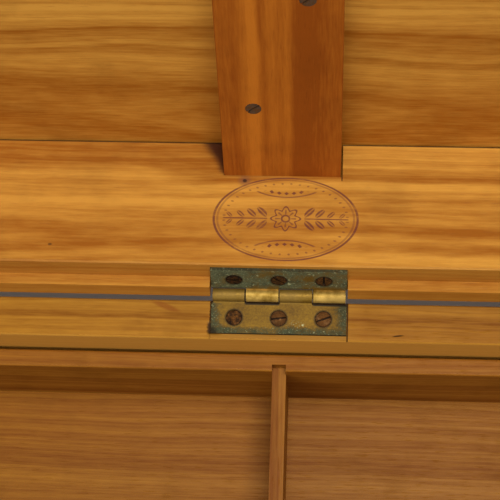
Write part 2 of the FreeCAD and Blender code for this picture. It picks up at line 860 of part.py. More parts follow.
# Bail handles
ear_reach = handle_plate_thick + ear_standoff
pivot_x = half_length + ear_reach


def handle_places(sx):
    """Four screws of a handle's plate."""
    face = sx * (half_length + handle_plate_thick)
    half_y = handle_plate_length / 2 - handle_screw_inset
    half_z = handle_plate_width / 2 - handle_screw_inset
    return [
        (V(face, a * half_y, handle_height + b * half_z), V(sx, 0, 0))
        for a in (-1, 1)
        for b in (-1, 1)
    ]


def handle_plate(sx):
    """Backing plate with two ears that carry the bail, drawn at the right end."""
    half_y, half_z = handle_plate_length / 2, handle_plate_width / 2
    flat = box(
        half_length,
        half_length + handle_plate_thick,
        -half_y,
        half_y,
        handle_height - half_z,
        handle_height + half_z,
    )
    flat = rounded(flat, handle_plate_corner, lambda e: runs_along(e, V(1, 0, 0)))
    ears = []
    for s in (-1, 1):
        y0 = s * bail_pivot_spacing / 2 - ear_thick / 2
        y1 = y0 + ear_thick
        z0, z1 = handle_height - ear_radius, handle_height + ear_radius
        block = box(half_length + handle_plate_thick / 2, pivot_x, y0, y1, z0, z1)
        barrel = rod(ear_radius, V(pivot_x, y0, handle_height), V(pivot_x, y1, handle_height))
        ears.append(fuse([block, barrel]))
    bore_radius = bail_pin_radius + bail_pin_gap
    bore = rod(bore_radius, V(pivot_x, -half_y, handle_height), V(pivot_x, half_y, handle_height))
    plate = fuse([flat] + ears).cut(bore)
    if sx < 0:
        plate = plate.mirror(V(0, 0, 0), V(1, 0, 0))
    return plate.cut([screw_hole(handle_screw, *p) for p in handle_places(sx)])


def bail(sx):
    """Bent rod hanging from the ears, its ends turned inward into their bores."""
    side = bail_pivot_spacing / 2 + ear_thick / 2 + bail_ear_gap + bail_rod_radius
    low = handle_height - bail_drop
    x = pivot_x
    radius = bail_bend
    straight = [
        (V(x, -side, handle_height), V(x, -side, low + radius)),
        (V(x, side, handle_height), V(x, side, low + radius)),
        (V(x, -side + radius, low), V(x, side - radius, low)),
    ]
    pieces = [rod(bail_rod_radius, start, end) for start, end in straight]
    for s in (-1, 1):
        centre = V(x, s * (side - radius), low + radius)
        ring = Part.makeTorus(radius, bail_rod_radius, centre, V(1, 0, 0))
        y0, y1 = sorted((centre.y, centre.y + s * (radius + bail_rod_radius + 1)))
        quarter = box(x - radius, x + radius, y0, y1, low - radius, low + radius)
        pieces.append(ring.common(quarter))
        pieces.append(Part.makeSphere(bail_rod_radius, V(x, s * side, handle_height)))
        inside = s * (bail_pivot_spacing / 2 - ear_thick / 2)
        pin = rod(bail_pin_radius, V(x, s * side, handle_height), V(x, inside, handle_height))
        pieces.append(pin)
    half_grip = side - radius - bail_grip_from_bend
    grip = rod(bail_grip_radius, V(x, -half_grip, low), V(x, half_grip, low))
    grip = grip.makeFillet(bail_grip_round, [e for e in grip.Edges if e.Closed])
    shape = fuse(pieces + [grip])
    if sx < 0:
        shape = shape.mirror(V(0, 0, 0), V(1, 0, 0))
    return shape


handle_screws = []
for side_name, sx in (("left", -1), ("right", 1)):
    save("handle_plate_%s" % side_name, handle_plate(sx))
    save("bail_%s" % side_name, bail(sx))
    handle_screws += [screw(handle_screw, *p, 25) for p in handle_places(sx)]
save("handle_screws", handle_screws)

# Body walls
walls = board_frame(wall_bottom, rim_z, wall_tails)
lip_ring = box(-lip_x, lip_x, -lip_y, inner_y, rim_z, rim_z + lip_height)
lip_top = rim_z + lip_height
lip_ring = lip_ring.cut(box(-inner_x, inner_x, -inner_y, inner_y + 1, rim_z - 1, lip_top + 1))
lip_gap_half = max(selvedge_length, link_plate_length) / 2 + lip_gap_beyond_plate
lip_ring = lip_ring.cut(
    box(-lip_gap_half, lip_gap_half, -half_width, -inner_y + 1, rim_z, lip_top + 1)
)
side_lips = {
    "left": box(-half_length, -inner_x, -inner_y, inner_y, rim_z, lip_top + 1),
    "right": box(inner_x, half_length, -inner_y, inner_y, rim_z, lip_top + 1),
}
for side_name, room in side_lips.items():
    walls[side_name] = walls[side_name].fuse(lip_ring.common(room))
walls["front"] = walls["front"].fuse(lip_ring.cut(list(side_lips.values())).Solids)

hinge_room = [
    box(
        x - hinge_length / 2 - leaf_end_gap,
        x + hinge_length / 2 + leaf_end_gap,
        inner_y - 1,
        half_width + 1,
        rim_z - leaf_seat_depth,
        rim_z + 1,
    )
    for x in hinge_places.values()
]
lock_room = [
    box(-lock_width / 2, lock_width / 2, lock_front, lock_back + 1, lock_low, rim_z + 1),
    box(
        -selvedge_length / 2,
        selvedge_length / 2,
        lock_front,
        lock_back + 1,
        rim_z - selvedge_thick,
        rim_z + 1,
    ),
    keyhole(key_shank_radius + wood_keyhole_gap, -half_width - 1, lock_front + 1),
]
lock_holes = [screw_hole(plate_screw, *p) for p in selvedge_places]
lock_holes += [brass_pin_hole(p, n) for p, n in escutcheon_places]
rim_edges = [
    bevel_bar(V(-half_length, y, rim_z), V(half_length, y, rim_z), rim_arris)
    for y in (inner_y, half_width)
]
cuts = {
    "front": lock_room + lock_holes,
    "back": hinge_room + [screw_hole(hinge_screw, *p) for p in lower_screw_places] + rim_edges,
    "left": [],
    "right": [],
}
for side_name, sx in (("left", -1), ("right", 1)):
    cuts[side_name] += [screw_hole(plate_screw, *p) for p in stay_screw_places(sx, stud_y, stud_z)]
    cuts[side_name] += [screw_hole(handle_screw, *p) for p in handle_places(sx)]
for name, wall in walls.items():
    wall = wall.common(body_form_with_lip)
    holes = near_holes(wall, body_pins, brass_pin_hole)
    wall = wall.cut(body_brass_room).cut(cuts[name] + holes)
    save("%s_wall" % name, wall.removeSplitter())

# Bottom boards and skids
bottom_step = trunk_width / bottom_board_count
bottom_names = ["front", "back"]
skid_names = ["left", "middle", "right"]
skid_end_x = half_length - skid_from_end
skid_xs = [-skid_end_x + 2 * skid_end_x * i / (skid_count - 1) for i in range(skid_count)]
skid_screw_places = []
for x in skid_xs:
    for y in [half_width * share for share in skid_screw_shares]:
        skid_screw_places.append((V(x, y, skid_screw_sunk), V(0, 0, -1)))
joint = bevel_bar(V(-half_length, 0, 0), V(half_length, 0, 0), board_joint_bevel)


def joint_bevels(step, count, z):
    """Small V grooves where boards meet edge to edge, at one level."""
    return [joint.translated(V(0, -half_width + step * i, z)) for i in range(1, count)]


for index in range(bottom_board_count):
    y0 = -half_width + bottom_step * index
    board = box(-half_length, half_length, y0, y0 + bottom_step, skid_height, wall_bottom)
    board = board.common(body_form).cut(body_brass_room)
    holes = near_holes(board, body_pins, brass_pin_hole)
    holes += [screw_hole(skid_screw, *p) for p in skid_screw_places]
    holes += joint_bevels(bottom_step, bottom_board_count, skid_height)
    holes += joint_bevels(bottom_step, bottom_board_count, wall_bottom)
    save("bottom_board_%s" % bottom_names[index], board.cut(holes))
for name, x in zip(skid_names, skid_xs):
    half = skid_width / 2
    reach = half_width - skid_short
    outline = [
        V(x - half, -reach, skid_height),
        V(x - half, -reach, skid_bevel),
        V(x - half, -reach + skid_bevel, 0),
        V(x - half, reach - skid_bevel, 0),
        V(x - half, reach, skid_bevel),
        V(x - half, reach, skid_height),
    ]
    skid = prism(outline, V(skid_width, 0, 0))
    skid = skid.cut([screw_hole(skid_screw, *p) for p in skid_screw_places])
    save("skid_%s" % name, skid)
save("skid_screws", [screw(skid_screw, *p, 20) for p in skid_screw_places])

# Tray runners on the front and back walls
tray_top = rim_z - tray_below_rim
tray_low = tray_top - tray_height
runner_low = tray_low - runner_height
runner_reach = inner_x - runner_short
for name, sy in (("front", -1), ("back", 1)):
    y0, y1 = sorted((inner_y * sy, (inner_y - runner_width) * sy))
    save("tray_runner_%s" % name, box(-runner_reach, runner_reach, y0, y1, runner_low, tray_low))

# Tray
tray_x = head_inner - tray_end_gap
tray_y = inner_y - tray_front_gap
tray_floor = tray_low + tray_bottom_up
bottom_room = box(
    -tray_x + tray_wall - tray_groove,
    tray_x - tray_wall + tray_groove,
    -tray_y + tray_wall - tray_groove,
    tray_y - tray_wall + tray_groove,
    tray_floor,
    tray_floor + tray_bottom_thick,
)
divider_room = box(
    -divider_thick / 2,
    divider_thick / 2,
    -tray_y + tray_wall - tray_groove,
    tray_y - tray_wall + tray_groove,
    tray_floor + tray_bottom_thick,
    tray_top + 1,
)


def eased_top(shape):
    """Rounds the long top edges of a tray board."""
    return rounded(
        shape, tray_arris, lambda e: e.BoundBox.ZMin > tray_top - 0.1 and e.Length > 3 * tray_wall
    )


for name, sy in (("front", -1), ("back", 1)):
    y0, y1 = sorted((tray_y * sy, (tray_y - tray_wall) * sy))
    side = eased_top(box(-tray_x, tray_x, y0, y1, tray_low, tray_top))
    save("tray_%s" % name, side.cut([bottom_room, divider_room]))
for name, sx in (("left", -1), ("right", 1)):
    x0, x1 = sorted((tray_x * sx, (tray_x - tray_wall) * sx))
    side = eased_top(box(x0, x1, -tray_y + tray_wall, tray_y - tray_wall, tray_low, tray_top))
    hole_top = tray_top - hand_hole_below_top
    half_hole = hand_hole_length / 2
    hole = box(x0 - 1, x1 + 1, -half_hole, half_hole, hole_top - hand_hole_height, hole_top)
    hole = rounded(hole, hand_hole_corner, lambda e: runs_along(e, V(1, 0, 0)))
    save("tray_%s" % name, side.cut([bottom_room, hole]))
save("tray_bottom", bottom_room)
divider_top = tray_top - divider_down
above = box(-divider_thick, divider_thick, -tray_y, tray_y, divider_top, tray_top + 2)
save("tray_divider", divider_room.cut(above))

# Lid rails
rails = board_frame(rim_z, lid_under_z, rail_tails)
land_x = half_length - land_width
land_y = half_width - land_width
rebate = box(-land_x, land_x, -land_y, land_y, rim_z - 1, rim_z + rebate_depth)
leaf_room = [
    box(
        x - hinge_length / 2 - leaf_end_gap,
        x + hinge_length / 2 + leaf_end_gap,
        inner_y - 1,
        half_width + 1,
        rim_z - 1,
        rim_z + rebate_depth,
    )
    for x in hinge_places.values()
]
batten_low = lid_under_z - batten_thick
batten_notches = [
    box(
        x - batten_width / 2 - batten_notch_left_gap,
        x + batten_width / 2 + batten_notch_right_gap,
        -inner_y - batten_let_in,
        inner_y + batten_let_in,
        batten_low,
        lid_under_z,
    )
    for x in hinge_places.values()
]
rebate_top = rim_z + rebate_depth
lid_edges = bevel_ring(inner_x, inner_y, rebate_top, rim_arris)
lid_edges += bevel_ring(half_length, half_width, rim_z, rim_arris)
lid_edges += bevel_ring(inner_x, inner_y, lid_under_z, board_joint_bevel)
lid_edges += bevel_ring(half_length, half_width, lid_under_z, board_joint_bevel)
back_screw_holes = [screw_hole(hinge_screw, *p) for p in upper_screw_places]
rail_cuts = {
    "front": batten_notches + [screw_hole(plate_screw, *p) for p in link_screw_places()],
    "back": batten_notches + leaf_room + back_screw_holes,
    "left": [screw_hole(plate_screw, *p) for p in stay_screw_places(-1, pivot_y, pivot_z)],
    "right": [screw_hole(plate_screw, *p) for p in stay_screw_places(1, pivot_y, pivot_z)],
}
for name, rail in rails.items():
    rail = rail.common(lid_form).cut(lid_brass_room)
    holes = near_holes(rail, lid_pins, brass_pin_hole)
    rail = rail.cut([rebate] + lid_edges + rail_cuts[name] + holes)
    save("lid_%s_rail" % name, swung_open(rail.removeSplitter()))

# Battens, their screws, and the lid's boards
batten_screw_places = []
batten_run = 2 * (inner_y - batten_screw_from_rail)
for x in hinge_places.values():
    for index in range(batten_screw_count):
        y = -batten_run / 2 + batten_run * index / (batten_screw_count - 1)
        zigzag = batten_screw_zigzag * (1 if index % 2 else -1)
        batten_screw_places.append((V(x + zigzag, y, batten_low), V(0, 0, -1)))
batten_holes = [screw_hole(batten_screw, *p) for p in batten_screw_places]
for name, x in hinge_places.items():
    reach = inner_y + batten_let_in - fit_gap
    batten = box(x - batten_width / 2, x + batten_width / 2, -reach, reach, batten_low, lid_under_z)
    batten = rounded(
        batten,
        batten_arris,
        lambda e: runs_along(e, V(0, 1, 0)) and e.BoundBox.ZMax < batten_low + 1,
    )
    save("batten_%s" % name, swung_open(batten.cut(batten_holes)))
save("batten_screws", [swung_open(screw(batten_screw, *p, 40)) for p in batten_screw_places])
lid_step = trunk_width / lid_board_count
lid_board_names = ["front", "middle", "back"]
for index in range(lid_board_count):
    y0 = -half_width + lid_step * index
    board = box(-half_length, half_length, y0, y0 + lid_step, lid_under_z, trunk_height)
    board = board.common(lid_form).cut(lid_brass_room)
    holes = near_holes(board, lid_pins, brass_pin_hole) + batten_holes
    holes += joint_bevels(lid_step, lid_board_count, lid_under_z)
    holes += joint_bevels(lid_step, lid_board_count, trunk_height)
    save("lid_board_%s" % lid_board_names[index], swung_open(board.cut(holes)))

# Corner brass
save("body_corner_brass", body_brass)
save("lid_corner_brass", [swung_open(s) for s in lid_brass])
pins_made = [brass_pin(p, n) for p, n in body_pins + escutcheon_places]
save("body_brass_pins", pins_made)
save("lid_brass_pins", [swung_open(brass_pin(p, n)) for p, n in lid_pins])
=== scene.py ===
import json
import math
from functools import reduce

import bmesh
import bpy
from bpy.props import BoolProperty, FloatProperty, FloatVectorProperty, IntProperty, PointerProperty
from mathutils import Matrix, Vector, noise


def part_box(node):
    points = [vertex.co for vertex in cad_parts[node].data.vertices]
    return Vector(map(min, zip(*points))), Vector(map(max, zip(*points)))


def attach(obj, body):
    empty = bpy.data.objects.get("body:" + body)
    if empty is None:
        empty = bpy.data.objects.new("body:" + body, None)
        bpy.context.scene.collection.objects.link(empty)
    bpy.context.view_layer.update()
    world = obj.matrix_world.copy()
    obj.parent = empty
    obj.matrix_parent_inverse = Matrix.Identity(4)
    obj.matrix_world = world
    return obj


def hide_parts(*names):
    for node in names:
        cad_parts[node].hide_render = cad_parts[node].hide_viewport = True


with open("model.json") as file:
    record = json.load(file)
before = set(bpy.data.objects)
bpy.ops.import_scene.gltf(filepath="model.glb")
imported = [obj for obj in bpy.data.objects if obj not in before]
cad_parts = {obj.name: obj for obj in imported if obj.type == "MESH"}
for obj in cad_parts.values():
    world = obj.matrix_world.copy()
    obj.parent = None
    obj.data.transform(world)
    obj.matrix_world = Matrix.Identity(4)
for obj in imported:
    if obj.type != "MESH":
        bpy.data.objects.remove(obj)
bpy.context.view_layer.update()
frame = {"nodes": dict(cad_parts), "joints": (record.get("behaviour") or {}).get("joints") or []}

bl_info = {
    "name": "Camphor Trunk",
    "version": (1, 0, 0),
    "blender": (4, 5, 0),
    "location": "View3D > Sidebar > Trunk",
    "description": "Finishes of a brass-bound camphor wood trunk with its lid open",
    "category": "Object",
}

# Places read from the frame, in metres. The lid's are those it has when it is shut.
mm = 0.001
lid_joint = next(j for j in frame["joints"] if j["name"] == "lid_hinge")
pin = Vector(lid_joint["pos_m"])
open_turn = math.radians(-min(lid_joint["range_deg"]))
to_shut = Matrix.Translation(pin) @ Matrix.Rotation(open_turn, 4, "X") @ Matrix.Translation(-pin)
hinge_low, hinge_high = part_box("hinge_centre_lower_leaf")
hinge_half = (hinge_high.x - hinge_low.x) / 2
leaf_edge_y = hinge_low.y
barrel_radius = pin.z - hinge_low.z
hinge_apart = sum(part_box("hinge_right_lower_leaf"), Vector()).x / 2
wall_low, wall_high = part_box("back_wall")
rim_z = wall_high.z
wall_inner_y = wall_low.y
batten_half = (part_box("batten_centre")[1].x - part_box("batten_centre")[0].x) / 2

# Places that the frame doesn't give
leaf_thick = 2.1 * mm
head_drop_z = pin.z - barrel_radius + leaf_thick
screw_pitch = hinge_half - 13 * mm
screw_row_y = pin.y - 12.75 * mm
knuckle_radius = 4.6 * mm
chip_y = (233.5 * mm, 242.0 * mm)
smudge_place = (-64.0 * mm, 250.0 * mm)
gouge_place = (67.0 * mm, 235.6 * mm)
speck_place = (-128.5 * mm, 414.5 * mm)
knot_x = -21.4 * mm
knot_above_batten = -3.7 * mm


def in_shut_place(node):
    """Lowest and highest corner of a lid node, with the lid turned shut."""
    corners = [to_shut @ vertex.co for vertex in frame["nodes"][node].data.vertices]
    low = Vector([min(c[i] for c in corners) for i in range(3)])
    high = Vector([max(c[i] for c in corners) for i in range(3)])
    return low, high


rail_top_z = in_shut_place("lid_back_rail")[1].z
rail_arris_z = pin.z + barrel_radius
batten_low_z = in_shut_place("batten_centre")[0].z


# Node wiring


class Value:
    """Output of a shader node. Arithmetic on it adds Math nodes to its tree."""

    def __init__(self, socket):
        self.socket = socket
        self.tree = socket.id_data

    def __add__(self, other):
        return calc("ADD", self, other)

    def __radd__(self, other):
        return calc("ADD", other, self)

    def __sub__(self, other):
        return calc("SUBTRACT", self, other)

    def __rsub__(self, other):
        return calc("SUBTRACT", other, self)

    def __mul__(self, other):
        return calc("MULTIPLY", self, other)

    def __truediv__(self, other):
        return calc("DIVIDE", self, other)

    def __abs__(self):
        return calc("ABSOLUTE", self)


def fill(node, inputs):
    """Sets or links a node's inputs."""
    for key, value in inputs.items():
        if isinstance(value, Value):
            value.tree.links.new(value.socket, node.inputs[key])
        else:
            node.inputs[key].default_value = value


def add(tree, kind, inputs=None, out=0, **settings):
    """Adds a shader node with its settings and inputs, and returns one of its outputs."""
    node = tree.nodes.new("ShaderNode" + kind)
    for name, value in settings.items():
        setattr(node, name, value)
    fill(node, inputs or {})
    return Value(node.outputs[out])


def tree_of(values):
    """Node tree of the first value that comes from a node."""
    return next(value.tree for value in values if isinstance(value, Value))


def calc(operation, *values):
    """Result of a Math node."""
    return add(tree_of(values), "Math", dict(enumerate(values)), operation=operation)


def clamp(value):
    """Holds the result of a Math node between 0 and 1."""
    value.socket.node.use_clamp = True
    return value


def fract(value):
    """What follows the decimal point."""
    return calc("FRACT", value)


def most(*values):
    """Largest of several values."""
    return reduce(lambda first, second: calc("MAXIMUM", first, second), values)


def length(first, second):
    """Length of a vector of two parts."""
    return calc("SQRT", first * first + second * second)


def fade(value, low, high, to_low=0.0, to_high=1.0):
    """Smooth step of a value from low to high."""
    inputs = {"Value": value, "From Min": low, "From Max": high, "To Min": to_low, "To Max": to_high}
    return add(value.tree, "MapRange", inputs, interpolation_type="SMOOTHSTEP")


def mix(factor, first, second, blend="MIX"):
    """Mix of two colours."""
    values = (factor, first, second)
    return add(
        tree_of(values), "Mix", dict(zip((0, 6, 7), values)), out=2, data_type="RGBA", blend_type=blend,
        clamp_factor=True)


def join(operation, first, second, out=0):
    """Result of a Vector Math node."""
    return add(tree_of((first, second)), "VectorMath", {0: first, 1: second}, out, operation=operation)


def mottle(vector, scale, detail=2.0, roughness=0.5):
    """Noise from 0 to 1, in cycles per metre, with one scale or one for each axis."""
    scales = (scale,) * 3 if isinstance(scale, float) else scale
    inputs = {"Vector": join("MULTIPLY", vector, scales), "Scale": 1.0}
    return add(vector.tree, "TexNoise", {**inputs, "Detail": detail, "Roughness": roughness})


def sway(vector, scale, detail=2.0, roughness=0.5):
    """Noise about zero."""
    return mottle(vector, scale, detail, roughness) - 0.5


def layers(value, detail, roughness):
    """Noise along one value, about zero."""
    inputs = {"W": value, "Scale": 1.0, "Detail": detail, "Roughness": roughness}
    return add(value.tree, "TexNoise", inputs, noise_dimensions="1D") - 0.5


def bands(value, tones):
    """Tone that a board shows across its width, from listed places and tones, about zero."""
    tone = add(value.tree, "ValToRGB", {0: value})
    ramp = tone.socket.node.color_ramp
    ramp.interpolation = "B_SPLINE"
    while len(ramp.elements) < len(tones):
        ramp.elements.new(0.5)
    for stop, (place, level) in zip(ramp.elements, tones):
        stop.position = place
        stop.color = (level, level, level, 1)
    return tone - 0.5


def split(vector):
    """The three parts of a vector."""
    node = add(vector.tree, "SeparateXYZ", {0: vector}).socket.node
    return [Value(socket) for socket in node.outputs]


def merge(x, y, z):
    """Vector of three parts."""
    return add(tree_of((x, y, z)), "CombineXYZ", {0: x, 1: y, 2: z})


def spot(x, y, place, size, turn=0.0):
    """Soft elliptical patch on a face."""
    off_x, off_y = x - place[0], y - place[1]
    cosine, sine = math.cos(turn), math.sin(turn)
    along = off_x * (cosine / size[0]) + off_y * (sine / size[0])
    across = off_y * (cosine / size[1]) + off_x * (-sine / size[1])
    return fade(length(along, across), 1.3, 0.5)


def seen_from(tree, matrix=None):
    """Object coordinates, carried into a rigid frame if one is given."""
    vector = add(tree, "TexCoord", out="Object")
    if matrix is None:
        return vector
    inputs = {"Location": matrix.translation, "Rotation": matrix.to_euler("XYZ")}
    return add(tree, "Mapping", {"Vector": vector, **inputs})


def facing(tree, axis, on_lid=False):
    """How far the surface faces along an axis, from -1 to 1. The lid's axes are those it has shut."""
    if on_lid:
        axis = to_shut.to_3x3().inverted() @ Vector(axis)
    return join("DOT_PRODUCT", add(tree, "TexCoord", out="Normal"), axis, out="Value")


def new_group(name, inputs, outputs):
    """Empty node group with sockets listed by kind: its inputs by name and its output node."""
    tree = bpy.data.node_groups.new(name, "ShaderNodeTree")
    for way, kinds in (("INPUT", inputs), ("OUTPUT", outputs)):
        for kind, names in kinds.items():
            for socket in names:
                tree.interface.new_socket(name=socket, in_out=way, socket_type="NodeSocket" + kind)
    given = tree.nodes.new("NodeGroupInput").outputs
    return {socket.name: Value(socket) for socket in given}, tree.nodes.new("NodeGroupOutput")


def use_group(tree, name, inputs):
    """Places a node group in a tree and returns its outputs by name."""
    node = tree.nodes.new("ShaderNodeGroup")
    node.node_tree = bpy.data.node_groups[name]
    fill(node, inputs)
    return {socket.name: Value(socket) for socket in node.outputs}


def opaque(colour, share=1.0):
    """Colour with full alpha, lightened or darkened by a share."""
    return (*(share * c for c in colour), 1.0)


def shades(tones, share):
    """Several colours lightened or darkened by a share."""
    return [[share * c for c in tone] for tone in tones]


# Shared effects


def build_camphor_grain():
    """Rings about the tree's heart, wandering along the board, with fibres and pores."""
    given, output = new_group(
        "camphor_grain",
        {
            "Vector": ["Vector"],
            "Float": ["Seed", "Heart Y", "Heart Z", "Ring", "Wander", "Contrast", "Figure", "Red Share"],
            "Color": ["Light", "Deep", "Red"],
        },
        {"Color": ["Color"], "Float": ["Height", "Roughness"]},
    )
    seed = given["Seed"]
    shift = join("MULTIPLY", merge(seed, seed, seed), (1.7, 2.9, 4.3))
    moved = join("ADD", given["Vector"], shift)

    flow = sway(moved, (2.2, 9.0, 9.0)) * given["Wander"]
    ripple = sway(moved, (16.0, 60.0, 60.0))
    _, across, through = split(given["Vector"])
    radius = length(across - given["Heart Y"], through - given["Heart Z"]) + flow
    rings = (ripple * 0.0022 + radius) / given["Ring"] + seed * 7.0
    broad = layers(rings, 3.0, 0.62)
    narrow = layers(rings * 6.0, 2.0, 0.6)
    fibre = sway(moved, (48.0, 760.0, 760.0), 3.0, 0.6)
    curl = sway(moved, (70.0, 190.0, 190.0), 3.0)
    patch = mottle(moved, (3.0, 11.0, 11.0))
    pores = fade(mottle(moved, (110.0, 1700.0, 1700.0), 1.0), 0.62, 0.78)

    tone = broad * given["Contrast"] + narrow + fibre * 0.8 + curl * 0.4
    tone = clamp(tone + given["Figure"] + 0.5)
    colour = mix(tone, given["Deep"], given["Light"])
    red = fade(patch, 0.45, 0.75) * given["Red Share"]
    colour = mix(red, colour, given["Red"])
    colour = mix(pores * 0.14, colour, given["Deep"], "MULTIPLY")
    height = fibre * 0.8 - pores
    roughness = 0.5 - tone * 0.12 + pores * 0.15
    fill(output, {"Color": colour, "Height": height, "Roughness": roughness})


def build_scuffs():
    """Dents, hairline scratches and hand grime on a used surface."""
    given, output = new_group(
        "scuffs",
        {"Vector": ["Vector"], "Float": ["Scratches", "Grime"]},
        {"Float": ["Scratch", "Grime", "Height"]},
    )
    vector = given["Vector"]
    lines = []
    for turn, stretch in ((0.3, (25.0, 1400.0, 1400.0)), (-0.9, (1200.0, 22.0, 1200.0))):
        inputs = {"Vector": vector, "Axis": (0.2, 0.3, 1.0), "Angle": turn}
        lines.append(fade(mottle(add(vector.tree, "VectorRotate", inputs), stretch, 1.0), 0.70, 0.78))
    region = fade(mottle(vector, 18.0), 0.45, 0.65)
    scratch = most(*lines) * region * given["Scratches"]
    grime = fade(mottle(vector, 24.0, 4.0, 0.6), 0.48, 0.72) * given["Grime"]
    dents = mottle(vector, 220.0)
    fill(output, {"Scratch": scratch, "Grime": grime, "Height": dents * 0.25 - scratch})


def build_tarnished_brass():
    """Brass that has browned with age, with green crust where the mask asks for it."""
    given, output = new_group(
        "tarnished_brass",
        {
            "Vector": ["Vector"],
            "Color": ["Brass", "Rubbed", "Tarnish", "Crust"],
            "Float": ["Browning", "Green", "Wear", "Flecks"],
        },
        {"Color": ["Color"], "Float": ["Metallic", "Roughness", "Height"]},
    )
    vector = given["Vector"]
    cloud = mottle(vector, 90.0, 4.0, 0.62)
    grain = mottle(vector, 900.0, 3.0, 0.7)
    drawn = mottle(vector, (60.0, 1500.0, 1500.0))
    spread = (cloud - 0.5) * 1.3 + (grain - 0.5) * 1.6 + given["Browning"]
    brown = clamp(spread - given["Wear"])
    colour = mix(brown, given["Brass"], given["Tarnish"])
    streak = fade(drawn, 0.55, 0.75) * 0.35
    colour = mix(streak, colour, given["Tarnish"])
    edge = (cloud - 0.5) * 1.8 + (grain - 0.5) * 0.7 + given["Green"]
    green = fade(edge - given["Wear"], 0.20, 0.95) * fade(given["Green"], 0.0, 0.15)
    bloom = join("MULTIPLY", given["Crust"], (1.75, 2.1, 2.5))
    pale = mix(fade(grain, 0.45, 0.8), given["Crust"], bloom)
    deep = fade(mottle(vector, 150.0, 3.0, 0.65), 0.50, 0.66)
    pale = mix(deep * 0.5, pale, (0.022, 0.024, 0.012, 1))
    colour = mix(green, colour, pale)
    rub = given["Wear"] * fade(cloud, 0.25, 0.60)
    colour = mix(rub, colour, given["Rubbed"])
    specks = fade(mottle(vector, 480.0), 0.645, 0.71)
    fine = fade(mottle(vector, (900.0, 1300.0, 900.0)), 0.60, 0.68)
    specks = most(specks, fine * 0.55) * most(green, given["Flecks"])
    colour = mix(specks, colour, (0.36, 0.35, 0.17, 1))
    fill(output, {
        "Color": colour,
        "Metallic": clamp(0.65 - green * 0.60 - brown * 0.40),
        "Roughness": clamp(brown * 0.12 + 0.46 + given["Wear"] * 0.16 + green * 0.35),
        "Height": green * 0.6 + grain * 0.4,
    })


def build_rusted_iron():
    """Brown crust on a screw head or a lock's steel."""
    given, output = new_group(
        "rusted_iron",
        {"Vector": ["Vector"], "Color": ["Metal", "Rust"], "Float": ["Amount"]},
        {"Color": ["Color"], "Float": ["Metallic", "Roughness", "Height"]},
    )
    vector = given["Vector"]
    cloud = mottle(vector, 260.0, 4.0, 0.65)
    grain = mottle(vector, 1400.0, 2.0, 0.7)
    spread = (cloud - 0.5) * 2.2 + given["Amount"]
    rust = fade(spread, 0.2, 0.8)
    tint = mix(fade(grain, 0.35, 0.7), given["Rust"], (0.12, 0.045, 0.007, 1))
    fill(output, {
        "Color": mix(rust, given["Metal"], tint),
        "Metallic": 0.9 - rust * 0.8,
        "Roughness": rust * 0.35 + 0.38,
        "Height": rust * 0.4 + grain * 0.6,
    })


def build_ink_oval():
    """Inked mark in an oval: two rims, a ring of beads, a flower, leaf sprays and two garlands."""
    given, output = new_group(
        "ink_oval",
        {"Vector": ["Vector"], "Float": ["Half Width", "Half Height", "Line"]},
        {"Float": ["Ink"]},
    )
    x, _, z = split(given["Vector"])
    line = given["Line"]

    def stroke(distance, width):
        """Line about a distance of zero, full up to 0.35 of its width to either side."""
        return 1.0 - fade(abs(distance), width * 0.35, width)

    across = x / given["Half Width"]
    up = z / given["Half Height"]
    ring = length(across, up)
    to_rim = (ring - 1.0) * given["Half Height"]
    marks = [stroke(to_rim, line), stroke(to_rim + 0.0014, line * 0.9) * 0.5]

    beads = 44.0
    bead_pitch = 0.0046
    beat = calc("ARCTAN2", up, across) * (beads / math.tau)
    along = (fract(beat + 100.0) - 0.5) * bead_pitch
    marks.append(stroke(length(along, to_rim + 0.0040), 0.0009) * 0.75)

    # Leaf sprays: pairs of slanted leaves repeated along a stem on each side
    reach = abs(x)
    pitch, first, last = 0.0062, 0.0105, 0.0360
    leaf_length, leaf_width = 0.0047, 0.0018
    local = (fract((reach - first) / pitch) - 0.45) * pitch
    shrink = fade(reach, first, last, 1.0, 0.5)
    side = abs(z) - shrink * leaf_length
    cosine, sine = math.cos(math.radians(50)), math.sin(math.radians(50))
    lengthwise = local * cosine + side * sine
    sideways = side * cosine - local * sine
    leaf = length(lengthwise / (shrink * leaf_length), sideways / (shrink * leaf_width))
    filled = 1.0 - fade(leaf, 0.80, 1.1)
    vein = 1.0 - stroke(sideways, 0.0006) * 0.7
    within = fade(reach, 0.0101, 0.0108) * fade(reach, 0.0357, 0.0349)
    marks += [filled * vein * within, stroke(z, 0.0006) * within]

    # Flower: petals about the centre, with a small ring inside
    petals = 8.0
    petal = calc("COSINE", calc("ARCTAN2", z, x) * petals)
    from_centre = length(x, z)
    flower = stroke(from_centre - petal * 0.0013 - 0.0070, 0.0008)
    heart = stroke(from_centre - 0.0022, 0.0008)
    rays = fade(petal, 0.45, 0.9) * fade(from_centre, 0.0026, 0.0032)
    marks += [flower, heart, rays * fade(from_centre, 0.0062, 0.0056) * 0.75]

    # Curved garlands of lozenges above and below, each over a thin line
    arc = length(x / 1.75, abs(z) - 0.0285) - 0.0135
    marks.append(stroke(arc, 0.0006) * fade(ring, 0.80, 0.76) * 0.8)
    garland_pitch = 0.0042
    beat = abs(fract(x / garland_pitch + 20.5) - 0.5) * garland_pitch
    lozenge = beat / 0.0015 + abs(arc + 0.0026) / 0.0012
    lozenge = 1.0 - fade(lozenge, 0.75, 1.1)
    marks.append(lozenge * fade(ring, 0.76, 0.72))
    worn = mottle(given["Vector"], (260.0, 900.0, 900.0), 3.0, 0.6)
    broad = mottle(given["Vector"], 45.0)
    coverage = fade(broad * 0.9 + worn * 0.8, 0.30, 0.90)
    fill(output, {"Ink": most(*marks) * coverage})


# Materials


